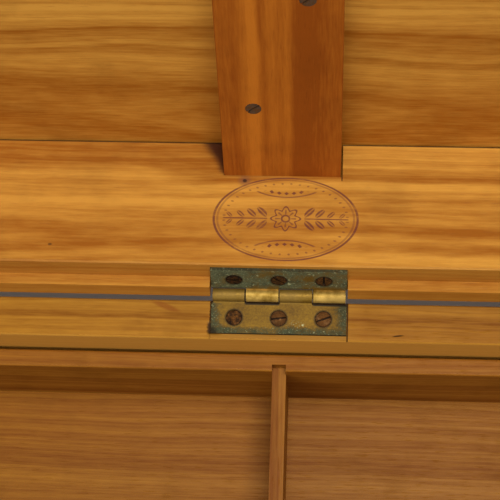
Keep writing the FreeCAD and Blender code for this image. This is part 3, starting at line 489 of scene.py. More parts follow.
def new_material(name):
    """Material with its Principled shader."""
    material = bpy.data.materials.new(name)
    material.use_nodes = True
    tree = material.node_tree
    return material, tree, tree.nodes["Principled BSDF"]


def bump(height, strength, distance):
    """Normal of a relief."""
    inputs = {"Height": height, "Strength": strength, "Distance": distance}
    return add(height.tree, "Bump", inputs)


def dress(material, *nodes):
    """Gives frame nodes their material."""
    for node in nodes:
        slots = frame["nodes"][node].data.materials
        slots.clear()
        slots.append(material)


def board_view(node, along_y, on_lid):
    """Frame of a board: origin at its middle, X along its grain."""
    low, high = in_shut_place(node) if on_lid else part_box(node)
    centred = Matrix.Translation(-(low + high) / 2)
    if on_lid:
        centred = centred @ to_shut
    return Matrix.Rotation(math.radians(-90), 4, "Z") @ centred if along_y else centred


def finish_board(node, seed, tones, heart, along_y=False, on_lid=False, ring=None, wander=0.022,
                 contrast=2.1, red_share=0.25, figure=None, marks=None, gloss=0.07):
    """Waxed wood for one board. figure sets its bands and marks adds what only it carries."""
    material, tree, shader = new_material("wood_" + node)
    light, deep, red = tones
    vector = seen_from(tree, board_view(node, along_y, on_lid))
    grain = use_group(tree, "camphor_grain", {
        "Vector": vector,
        "Seed": seed,
        "Heart Y": heart[0],
        "Heart Z": heart[1],
        "Ring": ring or bpy.context.scene.trunk_wood.ring_pitch,
        "Wander": wander,
        "Contrast": contrast,
        "Figure": figure(tree) if figure else 0.0,
        "Light": opaque(light),
        "Deep": opaque(deep),
        "Red": opaque(red),
        "Red Share": red_share,
    })
    scuffs = use_group(tree, "scuffs", {"Vector": vector, "Scratches": 0.35, "Grime": 0.35})
    end = fade(abs(facing(tree, (0, 1, 0) if along_y else (1, 0, 0), on_lid)), 0.6, 0.9)
    colour = mix(end * 0.55, grain["Color"], opaque(deep))
    colour = mix(scuffs["Grime"] * 0.5, colour, opaque(deep, 0.35))
    colour = mix(scuffs["Scratch"] * 0.4, colour, opaque(light))
    height = scuffs["Height"] * 0.5 + grain["Height"]
    if marks:
        colour, height = marks(tree, colour, height, tones)
    fill(shader, {
        "Base Color": colour,
        "Roughness": scuffs["Grime"] * 0.2 + grain["Roughness"],
        "Specular IOR Level": gloss,
        "Normal": bump(height, 0.35, 0.00025),
    })
    dress(material, node)


def near_hinge(x):
    """Distance along X from the nearest hinge's middle, signed."""
    return (fract(x / hinge_apart + 10.5) - 0.5) * hinge_apart


# Bands across the boards beside the centre hinge: pairs of a place from 0 to 1 and a tone

rail_bands_left = (
    (0.0, 0.26), (0.05, 0.10), (0.12, 0.26), (0.17, 0.22), (0.22, 0.50), (0.27, 0.84), (0.36, 0.74),
    (0.42, 0.42), (0.47, 1.0), (0.52, 0.95), (0.57, 0.68), (0.66, 0.36), (0.75, 0.30), (0.80, 0.46),
    (0.84, 0.0), (0.88, 0.42), (0.93, 0.55), (0.97, 0.15), (1.0, 0.6),
)
rail_bands_right = (
    (0.0, 0.80), (0.035, 0.32), (0.09, 0.20), (0.15, 0.36), (0.20, 0.95), (0.26, 0.84), (0.31, 0.55),
    (0.37, 0.44), (0.41, 0.30), (0.47, 0.90), (0.54, 0.0), (0.57, 0.56), (0.595, 0.06), (0.64, 0.90),
    (0.70, 0.0), (0.74, 0.20), (0.785, 0.95), (0.83, 0.30), (0.875, 0.04), (0.93, 1.0), (1.0, 0.7),
)
batten_bands = (
    (0.0, 0.32), (0.13, 0.50), (0.22, 1.0), (0.27, 0.22), (0.36, 0.78), (0.50, 0.26), (0.60, 0.74),
    (0.68, 0.05), (0.85, 0.0), (1.0, 0.30),
)
rim_bands = (
    (0.0, 0.40), (0.17, 0.72), (0.35, 0.58), (0.435, 0.0), (0.52, 0.80), (0.62, 0.40), (0.70, 0.68),
    (0.80, 0.38), (0.90, 0.72), (1.0, 0.60),
)


def rail_figure(tree):
    """Bands of the back rail, one set to the left of the hinge and one to the right."""
    x, y, z = split(seen_from(tree, to_shut))
    down = rail_top_z - z + sway(merge(x, 0.0, z), (9.0, 26.0, 26.0), 3.0) * 0.0075
    bend = fade(x, -0.085, -0.034) * fade(down, 0.055, 0.008)
    down = down - bend * 0.020
    reach = rail_top_z - rail_arris_z
    left = x * 0.036 + (down + 0.0032)
    left = bands(left / reach, rail_bands_left)
    right = down + 0.0016 - x * 0.02
    right = bands(right / reach, rail_bands_right)
    share = fade(x, -0.035, 0.05)
    both = (right - left) * share + left
    near = fade(y, wall_inner_y + 0.010, wall_inner_y + 0.006)
    return both * near


def batten_figure(tree):
    """Bands along the centre batten."""
    x, y, _ = split(seen_from(tree, to_shut))
    place = sway(merge(x, y, 0.0), (30.0, 6.0, 30.0)) * 0.012 + x
    return bands(fade(place, -batten_half, batten_half), batten_bands) * 1.7


def rim_figure(tree):
    """Bands of the back wall's rim, with one dark wandering line."""
    x, y, z = split(seen_from(tree))
    wave = sway(merge(x, y, 0.0), (26.0, 60.0, 60.0), 3.0, 0.6)
    place = (wave * 0.0060 + (wall_high.y - y)) / (wall_high.y - wall_inner_y)
    on_rim = fade(z, rim_z - 0.004, rim_z - 0.001)
    return bands(place, rim_bands) * on_rim


def rim_marks(tree, colour, height, tones):
    """Hinge beds on the back wall's rim: fresh wood, saw lines darkened as painted shade, painted shade under
    the knuckles, a chipped corner. Its inner face is made paler as painted light.
    """
    _, deep, red = tones
    vector = seen_from(tree)
    x, y, z = split(vector)
    local = near_hinge(x)
    ragged = sway(vector, (500.0, 900.0, 500.0), 3.0, 0.7) * 0.0022
    size = abs(local)
    inside = fade(size + ragged, hinge_half + 0.0006, hinge_half + 0.0001)
    on_rim = fade(z, rim_z - 0.0012, rim_z - 0.0006)
    fresh = inside * on_rim * fade(y, leaf_edge_y + 0.001, leaf_edge_y - 0.0003)
    colour = mix(fresh * 0.60, colour, (0.32, 0.140, 0.016, 1))
    right = fade(x, 0.030, 0.050) * on_rim
    colour = mix(right, colour, (0.86, 0.80, 0.58, 1), "MULTIPLY")
    # Painted light: the inner face, which sits in the trunk's shade, is made paler
    inner_face_light = fade(facing(tree, (0, -1, 0)), 0.6, 0.9)
    colour = mix(inner_face_light * 0.75, colour, (0.78, 0.385, 0.065, 1))
    # Painted shade under the knuckles: the strip nearest the pin, across each hinge's width, goes nearly
    # black
    under_knuckle_shade = inside * fade(y, pin.y - 0.0085, pin.y - 0.0075)
    colour = mix(under_knuckle_shade * 0.92, colour, (0.016, 0.007, 0.003, 1))
    # Saw lines at the leaf ends: real kerfs and gaps, painted dark as the shade inside them
    left = fade(local, -0.03, -0.036)
    saw = ragged * left * 0.6 + (size - (hinge_half + 0.0005))
    kerf_shade = fade(abs(saw), 0.0006, 0.0002)
    beyond = fade(y, leaf_edge_y - 0.0006, leaf_edge_y + 0.0002, 0.35, 1.0)
    kerf_shade = kerf_shade * on_rim * most(beyond, 1.0 - left)
    chip = fade(local + ragged, -hinge_half - 0.0026, -hinge_half - 0.0012) * left * on_rim
    chip = chip * fade(y, chip_y[0], chip_y[0] + 0.0020) * fade(y, chip_y[1], chip_y[1] - 0.0020)
    smudge = spot(x, y, smudge_place, (0.0085, 0.0018), -0.35) * on_rim
    gouge = spot(x, y, gouge_place, (0.0032, 0.00045), 0.12) * on_rim
    colour = mix(smudge * 0.65, colour, opaque(red))
    colour = mix(kerf_shade * 0.92, colour, opaque(deep, 0.13))
    colour = mix(most(chip, gouge) * 0.92, colour, opaque(deep, 0.13))
    return colour, height - most(kerf_shade, chip, gouge) * 3.0


def rail_marks(tree, colour, height, tones):
    """Back rail: painted shadow of the batten, painted shade on the lands, a knot, the saw's overcut painted
    dark and the inked oval.
    """
    mark = bpy.context.scene.trunk_mark
    vector = seen_from(tree, to_shut)
    x, y, z = split(vector)
    inner_face = fade(y, wall_inner_y + 0.0015, wall_inner_y + 0.0004)
    wave = sway(vector, 60.0, 3.0)

    # Painted shadow of the batten: a dark wedge on the rail's inner face beside the notch
    down = rail_top_z - z
    reach = 0.0125 - down * 0.55
    side = wave * 0.006 + (-batten_half - x)
    batten_shadow = fade(side - reach, 0.0040, -0.0032) * fade(x, 0.0, -0.01)
    batten_shadow = batten_shadow * fade(down, 0.026, 0.021) * inner_face
    colour = mix(batten_shadow * 0.94, colour, (0.068, 0.020, 0.009, 1))

    # Painted shade on the lands of the rebated rim, darker still towards the right
    land_shade = fade(facing(tree, (0, 0, -1), on_lid=True), 0.6, 0.9)
    colour = mix(land_shade * 0.5, colour, opaque(tones[1], 0.95))
    right = fade(x, 0.030, 0.060) * land_shade
    colour = mix(right, colour, (0.88, 0.86, 0.78, 1), "MULTIPLY")

    # Grime in the joint with the lid's boards
    joint = fade(down, 0.0017, 0.0008) * inner_face
    colour = mix(joint * 0.9, colour, (0.025, 0.009, 0.004, 1))

    # Small knot with its stained ring, and a dark speck
    away = wave * 0.0012 + length(x - knot_x, z - (batten_low_z + knot_above_batten))
    halo = fade(away, 0.0052, 0.0012) * inner_face
    core = fade(away, 0.0016, 0.0008) * inner_face
    colour = mix(halo * 0.6, colour, (0.16, 0.06, 0.035, 1))
    colour = mix(core * 0.85, colour, (0.03, 0.012, 0.008, 1))
    speck = spot(x, z, speck_place, (0.0012, 0.0009)) * inner_face
    colour = mix(speck * 0.7, colour, (0.05, 0.018, 0.006, 1))

    # Overcut of the saw below the notch's right corner, a real kerf painted as a dark line: painted shade
    # inside it
    line = fade(abs(x - (batten_half + 0.0006)), 0.0005, 0.0002) * inner_face
    line = line * fade(z, batten_low_z - 0.0032, batten_low_z - 0.0022)
    colour = mix(line * 0.9, colour, (0.03, 0.01, 0.005, 1))

    middle = (mark.mark_x, 0.0, batten_low_z - mark.mark_below_batten)
    ink = use_group(tree, "ink_oval", {
        "Vector": join("SUBTRACT", vector, middle),
        "Half Width": mark.mark_width / 2,
        "Half Height": mark.mark_height / 2,
        "Line": mark.mark_line,
    })["Ink"] * inner_face
    return mix(ink * mark.ink_strength, colour, opaque(mark.ink)), height


def brass_material(name, browning, green=0.0, on_lid=False, masks=None, edge_shade=0.0, crust=1.0,
                   base=None, shine=0.0):
    """Aged brass. masks gives the green, worn and flecked places of one kind of fitting."""
    brass = bpy.context.scene.trunk_brass
    material, tree, shader = new_material(name)
    vector = seen_from(tree, to_shut if on_lid else None)
    green, wear, flecks = masks(vector) if masks else (green, 0.0, 0.0)
    coat = use_group(tree, "tarnished_brass", {
        "Vector": vector,
        "Brass": opaque(base or brass.brass),
        "Rubbed": opaque(brass.rubbed),
        "Tarnish": opaque(base, 0.34) if base else opaque(brass.tarnish),
        "Crust": opaque(brass.crust, crust),
        "Browning": browning,
        "Green": green,
        "Wear": wear,
        "Flecks": flecks,
    })
    scuffs = use_group(tree, "scuffs", {"Vector": vector, "Scratches": 0.6, "Grime": 0.4})
    colour = mix(scuffs["Grime"], coat["Color"], opaque(brass.tarnish, 0.4))
    colour = mix(scuffs["Scratch"] * 0.35, colour, opaque(brass.brass))
    metallic = coat["Metallic"]
    # Painted shade, near black: along the leaf's front edge face, in rings round the screw heads and in the
    # knuckle joints; also a dark patch at the lower leaf's left front corner
    if edge_shade:
        x, y, _ = split(vector)
        edge = fade(facing(tree, (0, -1, 0), on_lid), 0.5, 0.85) * edge_shade
        edge = edge * fade(y, leaf_edge_y + 0.0012, leaf_edge_y + 0.0005)
        ring = fade(from_screw(vector), 0.0057, 0.0048)
        edge = most(edge, ring * 0.55, knuckle_shade(vector, on_lid) * edge_shade)
        if not on_lid:
            corner = spot(near_hinge(x), y, (-hinge_half, leaf_edge_y), (0.0042, 0.0036), 0.6)
            edge = most(edge, corner * 0.8)
        colour = mix(edge, colour, (0.012, 0.009, 0.005, 1))
        metallic = clamp(metallic - edge * 0.6)
    fill(shader, {
        "Base Color": colour,
        "Metallic": metallic,
        "Roughness": scuffs["Grime"] * 0.2 + coat["Roughness"] - shine,
        "Specular IOR Level": 0.12,
        "Normal": bump(coat["Height"] + scuffs["Height"], 0.4, 0.0002),
    })
    return material


def from_screw(vector):
    """Distance from the axis of the nearest hinge screw."""
    x, y, _ = split(vector)
    off_x = (fract(near_hinge(x) / screw_pitch + 10.5) - 0.5) * screw_pitch
    return length(off_x, y - screw_row_y)


def knuckle_shade(vector, upper):
    """Painted shade in the joints between knuckles and along the leaf beside the other leaf's knuckles."""
    x, y, z = split(vector)
    part = fract((near_hinge(x) + 3 * hinge_half) / hinge_half)
    from_joint = calc("PINGPONG", part * 2.0, 0.5) * (hinge_half / 2)
    away = length(y - pin.y, z - pin.z)
    joint = fade(from_joint, 0.0006, 0.0002) * fade(away, knuckle_radius + 0.0006, knuckle_radius)
    other = fade(part, 0.52, 0.48) if upper else fade(part, 0.48, 0.52)
    beside = fade(abs(away - knuckle_radius), 0.0011, 0.0005)
    return most(joint, beside * other)


def leaf_masks(upper):
    """Where a hinge leaf is green, where it is rubbed bright and where it has pale flecks."""

    def masks(vector):
        x, y, z = split(vector)
        local = near_hinge(x)
        end = fade(hinge_half - abs(local), 0.010, 0.001)
        edge = fade(y - leaf_edge_y, 0.0065, 0.0015)
        away = length(y - pin.y, z - pin.z)
        barrel = fade(away, barrel_radius + 0.0012, barrel_radius + 0.0002)
        if upper:
            own = fade(fract((local + 3 * hinge_half) / hinge_half), 0.46, 0.54)
            near = fade(away, 0.0100, 0.0048) * own
            green = fade(local, 0.02, -0.02, 0.62, 0.80) - near * 0.30 - barrel * 0.55
            wear = barrel * 0.75
            flecks = 0.0
        else:
            green = most(most(end * 0.75, edge * 0.8) - barrel * 0.6, 0.05)
            wear = barrel * 0.16
            flecks = spot(local, y, (0.0095, leaf_edge_y + 0.0056), (0.0060, 0.0024))
        return green, wear, flecks

    return masks


def iron_material(name, metal, rust, amount, on_lid=False, slot_shade_z=None, relief=0.0002):
    """Rusted or oiled iron. slot_shade_z gives the heights between which a screw's slot is painted dark, as
    painted shade in the slot.
    """
    material, tree, shader = new_material(name)
    vector = seen_from(tree, to_shut if on_lid else None)
    crust = use_group(tree, "rusted_iron", {
        "Vector": vector,
        "Metal": opaque(metal),
        "Rust": opaque(rust),
        "Amount": amount,
    })
    colour = crust["Color"]
    if slot_shade_z:
        x, _, z = split(vector)
        local = near_hinge(x)
        worn = fade(local, -0.022, 0.020, 0.70, 1.20)
        colour = mix(1.0, colour, add(tree, "CombineColor", {0: worn, 1: worn, 2: worn}), "MULTIPLY")
        away = from_screw(vector)
        warm = fade(away, 0.0034, 0.0012) * 0.4
        colour = mix(warm, colour, opaque(rust, 2.4))
        pits = mottle(vector, 620.0)
        chewed = fade(local, -0.012, -0.018)
        bright = fade(pits, 0.44, 0.36) * (chewed * 0.6)
        colour = mix(bright, colour, opaque(rust, 3.2))
        pits = fade(pits, 0.50, 0.60) * (chewed * 0.75)
        colour = mix(pits, colour, opaque(rust, 0.2))
        # Painted shadow ring round the edge of each screw head
        rim = fade(away, 0.0034, 0.0046) * 0.6
        colour = mix(rim, colour, opaque(rust, 0.3))
        # Painted shade inside the slot
        colour = mix(fade(z, *slot_shade_z) * 0.85, colour, (0.008, 0.005, 0.003, 1))
    fill(shader, {
        "Base Color": colour,
        "Metallic": crust["Metallic"],
        "Roughness": crust["Roughness"],
        "Specular IOR Level": 0.12,
        "Normal": bump(crust["Height"], 0.5, relief),
    })
    return material


# Settings


def colour_property(name, description, default):
    """Setting that holds a colour."""
    return FloatVectorProperty(
        name=name, description=description, subtype="COLOR", size=3, min=0, max=1, default=default)


def length_property(name, description, default, **limits):
    """Setting that holds a length in metres."""
    return FloatProperty(name=name, description=description, unit="LENGTH", default=default, **limits)


def angle_property(name, description, degrees):
    """Setting that holds an angle."""
    return FloatProperty(
        name=name, description=description, subtype="ANGLE", default=math.radians(degrees))


def power_property(name, description, default):
    """Setting that holds a lamp's power in watts."""
    return FloatProperty(
        name=name, description=description, unit="POWER", min=0, max=2000, default=default)


class TrunkWood(bpy.types.PropertyGroup):
    """Colours of the woods."""

    lid_light: colour_property("Lid light", "Pale bands of the lid's boards", (0.675, 0.320, 0.048))
    lid_deep: colour_property("Lid deep", "Dark bands of the lid's boards", (0.33, 0.105, 0.008))
    lid_red: colour_property("Lid red", "Reddish patches of the lid's boards", (0.36, 0.092, 0.008))
    body_light: colour_property("Body light", "Pale bands of the body's boards", (0.45, 0.197, 0.017))
    body_deep: colour_property("Body deep", "Dark bands of the body's boards", (0.23, 0.077, 0.004))
    body_red: colour_property("Body red", "Reddish patches of the body's boards", (0.23, 0.058, 0.004))
    # Tray tones are darker than the body's: painted shade for the trunk's inside
    tray_shaded_light: colour_property("Tray light", "Pale bands of the tray", (0.35, 0.138, 0.013))
    tray_shaded_deep: colour_property("Tray deep", "Dark bands of the tray", (0.19, 0.056, 0.005))
    batten_light: colour_property("Batten light", "Pale bands of the battens", (0.54, 0.165, 0.015))
    batten_deep: colour_property("Batten deep", "Dark bands of the battens", (0.27, 0.062, 0.005))
    ring_pitch: length_property("Ring pitch", "Spacing of the growth bands", 0.012, min=0.004, max=0.04)


class TrunkBrass(bpy.types.PropertyGroup):
    """Colours of the fittings."""

    brass: colour_property("Brass", "Dull brass of the hinges", (0.205, 0.112, 0.011))
    rubbed: colour_property("Rubbed brass", "Brass where it is handled or rubs", (0.70, 0.450, 0.110))
    trim: colour_property("Trim brass", "Corners, handles, stays and lock", (0.50, 0.335, 0.074))
    tarnish: colour_property("Tarnish", "Browned brass", (0.120, 0.060, 0.009))
    crust: colour_property("Green crust", "Dark green crust of the hinges", (0.070, 0.070, 0.031))
    screw_rust: colour_property("Screw rust", "Brown of the hinge screws", (0.062, 0.023, 0.004))


class TrunkMark(bpy.types.PropertyGroup):
    """The inked oval on the lid's back rail."""

    mark_width: length_property("Oval width", "Length of the oval", 0.081, min=0.02, max=0.2)
    mark_height: length_property("Oval height", "Height of the oval", 0.057, min=0.02, max=0.08)
    mark_x: length_property("Oval place", "Middle of the oval along the rail", 0.0028)
    mark_below_batten: length_property(
        "Oval below batten", "Middle of the oval below the batten's underside", 0.0300)
    mark_line: length_property("Line", "Width of the oval's line", 0.0007, min=0.0001, max=0.003)
    ink: colour_property("Ink", "Colour of the ink", (0.135, 0.031, 0.027))
    ink_strength: FloatProperty(
        name="Ink strength", description="How strongly the ink covers the wood",
        min=0, max=1, default=0.85)


class TrunkScrews(bpy.types.PropertyGroup):
    """The hinge screws."""

    head_radius: length_property("Head radius", "Radius of a screw head", 0.0046, min=0.002, max=0.008)
    shank_radius: length_property("Shank radius", "Radius of the shank", 0.0021, min=0.001, max=0.004)
    slot_width: length_property("Slot width", "Width of the slot", 0.0011, min=0.0004, max=0.002)
    slot_depth: length_property("Slot depth", "Depth of the slot", 0.0010, min=0.0004, max=0.002)
    turns: IntProperty(
        name="Facets", description="Facets round a screw", min=12, max=64, default=32)


class TrunkStage(bpy.types.PropertyGroup):
    """Floor, lamps and camera."""

    floor_colour: colour_property("Floor", "Colour of the floor", (0.74, 0.73, 0.72))
    backdrop: colour_property("Backdrop", "Colour of the distance", (0.80, 0.80, 0.80))
    sky: FloatProperty(
        name="Sky", description="Strength of the light from all sides", min=0, max=3, default=0.17)
    top_power: power_property("Top lamp", "Power of the panel overhead", 55.0)
    front_power: power_property("Front lamp", "Power of the panel in front", 30.0)
    camera_place: FloatVectorProperty(
        name="Camera place", description="Camera from the centre hinge's pin", subtype="TRANSLATION",
        size=3, default=(0.031483, -0.250088, 0.918860))
    camera_yaw: angle_property("Yaw", "Turn about Y", 2.910)
    camera_pitch: angle_property("Pitch", "Tilt about X", 16.755)
    camera_roll: angle_property("Roll", "Turn about the view", 1.112)
    lens: FloatProperty(
        name="Lens", description="Focal length in millimetres on a 36 mm sensor", min=10, max=400,
        default=121.829)
    hide_stage: BoolProperty(
        name="Hide the floor", description="Leave the floor out of renders", default=False)


# Operators


class TRUNK_OT_effects(bpy.types.Operator):
    """Build the node groups that the finishes share"""

    bl_idname = "trunk.effects"
    bl_label = "Shared finishes"

    def execute(self, context):
        build_camphor_grain()
        build_scuffs()
        build_tarnished_brass()
        build_rusted_iron()
        build_ink_oval()
        return {"FINISHED"}


class TRUNK_OT_body_boards(bpy.types.Operator):
    """Finish the body's walls, bottom, skids and tray runners"""

    bl_idname = "trunk.body_boards"
    bl_label = "Body boards"

    def execute(self, context):
        wood = context.scene.trunk_wood
        tones = (wood.body_light, wood.body_deep, wood.body_red)
        # Painted light: the front and side walls get tones 1.22 times lighter to lift their shaded sides
        outside_painted_light = shades(tones, 1.22)
        dark = shades(tones, 0.55)
        finish_board(
            "back_wall", 4.0, tones, (-0.16, 0.05), contrast=0.8, figure=rim_figure, marks=rim_marks)
        finish_board("front_wall", 8.0, outside_painted_light, (0.09, 0.04))
        finish_board("left_wall", 11.0, outside_painted_light, (0.08, -0.06), along_y=True)
        finish_board("right_wall", 15.0, outside_painted_light, (0.08, -0.06), along_y=True)
        finish_board("bottom_board_front", 21.0, tones, (0.05, 0.12))
        finish_board("bottom_board_back", 24.0, tones, (0.05, 0.12))
        for seed, side in ((30.0, "left"), (31.0, "middle"), (32.0, "right")):
            finish_board("skid_" + side, seed, dark, (0.02, 0.10), along_y=True)
        finish_board("tray_runner_front", 41.0, tones, (0.05, 0.02))
        finish_board("tray_runner_back", 43.0, tones, (0.05, 0.02))
        return {"FINISHED"}


class TRUNK_OT_lid_boards(bpy.types.Operator):
    """Finish the lid's rails, boards and battens"""

    bl_idname = "trunk.lid_boards"
    bl_label = "Lid boards"

    def execute(self, context):
        wood = context.scene.trunk_wood
        tones = (wood.lid_light, wood.lid_deep, wood.lid_red)
        finish_board(
            "lid_back_rail", 2.0, tones, (-0.10, -0.02), on_lid=True, wander=0.012, contrast=0.7,
            red_share=0.12, figure=rail_figure, marks=rail_marks, gloss=0.2)
        finish_board("lid_front_rail", 6.0, tones, (0.10, 0.03), on_lid=True)
        finish_board("lid_left_rail", 12.0, tones, (0.09, 0.02), along_y=True, on_lid=True)
        finish_board("lid_right_rail", 17.0, tones, (0.09, 0.02), along_y=True, on_lid=True)
        for seed, place in ((51.0, "front"), (54.0, "middle"), (58.0, "back")):
            finish_board("lid_board_" + place, seed, tones, (0.03, 0.12), on_lid=True)
        tones = (wood.batten_light, wood.batten_deep, wood.lid_red)
        for seed, place in ((61.0, "left"), (64.0, "centre"), (69.0, "right")):
            finish_board(
                "batten_" + place, seed, tones, (-0.03, 0.16), along_y=True, on_lid=True, ring=0.016,
                wander=0.010, contrast=0.9, red_share=0.35,
                figure=batten_figure if place == "centre" else None)
        return {"FINISHED"}


class TRUNK_OT_tray(bpy.types.Operator):
    """Finish the lift-out tray"""

    bl_idname = "trunk.tray"
    bl_label = "Tray"

    def execute(self, context):
        wood = context.scene.trunk_wood
        # The tray's darker tones are painted shade for the trunk's inside
        tones = (wood.tray_shaded_light, wood.tray_shaded_deep, wood.body_red)
        for index, part in enumerate(("front", "back", "left", "right", "bottom", "divider")):
            across = part in ("left", "right", "divider")
            finish_board("tray_" + part, 80.0 + 3 * index, tones, (0.05, 0.08), along_y=across)
        return {"FINISHED"}


class TRUNK_OT_hinges(bpy.types.Operator):
    """Finish the three hinges"""

    bl_idname = "trunk.hinges"
    bl_label = "Hinges"

    def execute(self, context):
        lower = brass_material("brass_lower_leaf", 0.62, masks=leaf_masks(False), edge_shade=0.9, crust=0.80)
        upper = brass_material(
            "brass_upper_leaf", 0.75, on_lid=True, masks=leaf_masks(True), edge_shade=0.6, crust=1.25)
        for name in ("left", "centre", "right"):
            dress(lower, "hinge_%s_lower_leaf" % name)
            dress(upper, "hinge_%s_upper_leaf" % name)
        dress(brass_material("brass_hinge_pins", 0.8), "hinge_pins")
        return {"FINISHED"}


def screw_mesh(settings, seed, chewed):
    """Points and faces of one worn, slotted countersunk screw, head up at the origin."""
    slot_depth = settings.slot_depth * (0.25 if chewed else 1.0)
    head, shank = settings.head_radius, settings.shank_radius
    cone = head - shank
    profile = [
        (0.0, 0.00018), (head * 0.35, 0.00016), (head * 0.7, 0.00008), (head * 0.96, -0.00005),
        (head, -0.0004), (shank, -0.0004 - cone), (shank, -0.0136), (0.0, -0.0169),
    ]
    mesh = bmesh.new()
    rows = []
    for step in range(settings.turns):
        turn = Matrix.Rotation(math.tau * step / settings.turns, 3, "Z")
        rows.append([mesh.verts.new(turn @ Vector((x, 0.0, z))) for x, z in profile])
    for row, following in zip(rows, rows[1:] + rows[:1]):
        for index in range(len(profile) - 1):
            mesh.faces.new((*row[index:index + 2], *following[index:index + 2][::-1]))
    bmesh.ops.remove_doubles(mesh, verts=mesh.verts, dist=1e-6)

    # Slot: two cuts across the top, and the faces between them pushed in
    half = settings.slot_width / 2
    on_top = -0.0001
    for side in (-half, half):
        top = [face for face in mesh.faces if face.calc_center_median().z > on_top]
        geometry = top + list(dict.fromkeys(edge for face in top for edge in face.edges))
        geometry += list(dict.fromkeys(vertex for face in top for vertex in face.verts))
        bmesh.ops.bisect_plane(mesh, geom=geometry, plane_co=(0, side, 0), plane_no=(0, 1, 0))
    floor = [
        face for face in mesh.faces
        if face.calc_center_median().z > on_top and abs(face.calc_center_median().y) < half
    ]
    sunk = bmesh.ops.extrude_face_region(mesh, geom=floor)["geom"]
    bmesh.ops.delete(mesh, geom=floor, context="FACES")
    for vertex in (item for item in sunk if isinstance(item, bmesh.types.BMVert)):
        vertex.co.z = -slot_depth
        reach = math.hypot(vertex.co.x, vertex.co.y)
        if reach > head - slot_depth:
            vertex.co.x *= (head - slot_depth) / reach
    bmesh.ops.recalc_face_normals(mesh, faces=mesh.faces)

    # Wear of the head
    worn_from = -0.0012
    most_push = 0.0010 if chewed else 0.00032
    for vertex in mesh.verts:
        if vertex.co.z > worn_from:
            push = noise.noise_vector(vertex.co * 900.0 + Vector((seed, 0, 0)))
            vertex.co += Vector((push.x, push.y, push.z * 0.5)) * most_push

    # The mesh tools give their faces in another order each run, so they are put in a fixed one
    mesh.verts.index_update()
    faces = []
    for face in mesh.faces:
        corners = [vertex.index for vertex in face.verts]
        first = corners.index(min(corners))
        faces.append(corners[first:] + corners[:first])
    points = [vertex.co.copy() for vertex in mesh.verts]
    mesh.free()
    return points, sorted(faces)


# Seed of the screws' wear. Without one, Blender's noise vectors come from the clock
wear_seed = 1

# Slot angles of the hinge screws in degrees, by hinge from left to right
slot_angles = {
    "lower": ((35, 80, 10), (64, 8, 20), (5, 50, -30)),
    "upper": ((0, 15, -10), (4, -40, 90), (20, -12, 6)),
}
chewed_screws = (1, 3, 8)


def screw_places(row):
    """Place of each hinge screw of the lower or the upper leaves, with the lid shut."""
    upside = Matrix.Rotation(math.pi, 4, "X") if row == "upper" else Matrix.Identity(4)
    drop = barrel_radius - leaf_thick
    height = pin.z + drop if row == "upper" else pin.z - drop
    for hinge, angles in enumerate(slot_angles[row], -1):
        for index, angle in enumerate(angles, -1):
            middle = Vector((hinge * hinge_apart + index * screw_pitch, screw_row_y, height))
            yield Matrix.Translation(middle) @ upside @ Matrix.Rotation(math.radians(angle), 4, "Z")


class TRUNK_OT_hinge_screws(bpy.types.Operator):
    """Model the worn screws of the hinges"""

    bl_idname = "trunk.hinge_screws"
    bl_label = "Hinge screws"

    def execute(self, context):
        noise.seed_set(wear_seed)
        rust = tuple(context.scene.trunk_brass.screw_rust)
        dark = [0.20 * c for c in rust]
        # Heights where the slots are painted dark as shade
        slot = (head_drop_z - 0.00030, head_drop_z - 0.00055)
        finish = {
            "lower": iron_material(
                "rust_lower_screws", (0.16, 0.085, 0.030), rust, 0.85, slot_shade_z=slot, relief=0.0006),
            "upper": iron_material(
                "rust_upper_screws", (0.04, 0.025, 0.02), dark, 0.8, on_lid=True,
                slot_shade_z=[2 * pin.z - z for z in slot]),
        }
        for row, material in finish.items():
            points, faces = [], []
            for index, place in enumerate(screw_places(row)):
                chewed = row == "lower" and index in chewed_screws
                own, sides = screw_mesh(context.scene.trunk_screws, 1.0 + 3.7 * index, chewed)
                place = to_shut.inverted() @ place if row == "upper" else place
                faces += [[corner + len(points) for corner in side] for side in sides]
                points += [place @ point for point in own]
            data = bpy.data.meshes.new("hinge_screws_" + row)
            data.from_pydata(points, [], faces)
            data.set_sharp_from_angle(angle=math.radians(35))
            piece = bpy.data.objects.new("hinge_screws_" + row, data)
            context.scene.collection.objects.link(piece)
            data.materials.append(material)
            for face in data.polygons:
                face.use_smooth = True
            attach(piece, "chest" if row == "lower" else "lid")
            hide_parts(row + "_hinge_screws")
        return {"FINISHED"}


class TRUNK_OT_trim(bpy.types.Operator):
    """Finish the corner brass, handles, stays, lock, key and small screws"""

    bl_idname = "trunk.trim"
    bl_label = "Trim and lock"

    def execute(self, context):
        trim = tuple(context.scene.trunk_brass.trim)
        body = brass_material("brass_body_trim", 0.20, 0.04, base=trim, shine=0.10)
        lid = brass_material("brass_lid_trim", 0.20, 0.04, on_lid=True, base=trim, shine=0.10)
        rubbed = brass_material("brass_rubbed", 0.08, 0.02, base=trim, shine=0.14)
        dress(body, "body_corner_brass", "body_brass_pins", "handle_plate_left", "handle_plate_right",
              "lock_case", "escutcheon", "stay_stud_left", "stay_stud_right", "body_plate_screws")
        dress(lid, "lid_corner_brass", "lid_brass_pins", "link_plate", "stay_pivot_left",
              "stay_pivot_right", "lid_plate_screws")
        dress(rubbed, "bail_left", "bail_right", "stay_arm_left", "stay_arm_right")
        dress(iron_material("steel_lock", (0.27, 0.25, 0.22), (0.12, 0.065, 0.03), 0.30), "key", "lock_bolt")
        plain = ((0.11, 0.085, 0.06), (0.085, 0.040, 0.018), 0.6)
        dress(iron_material("iron_screws", *plain), "handle_screws", "skid_screws")
        dress(iron_material("iron_lid_screws", *plain, on_lid=True), "batten_screws")
        return {"FINISHED"}


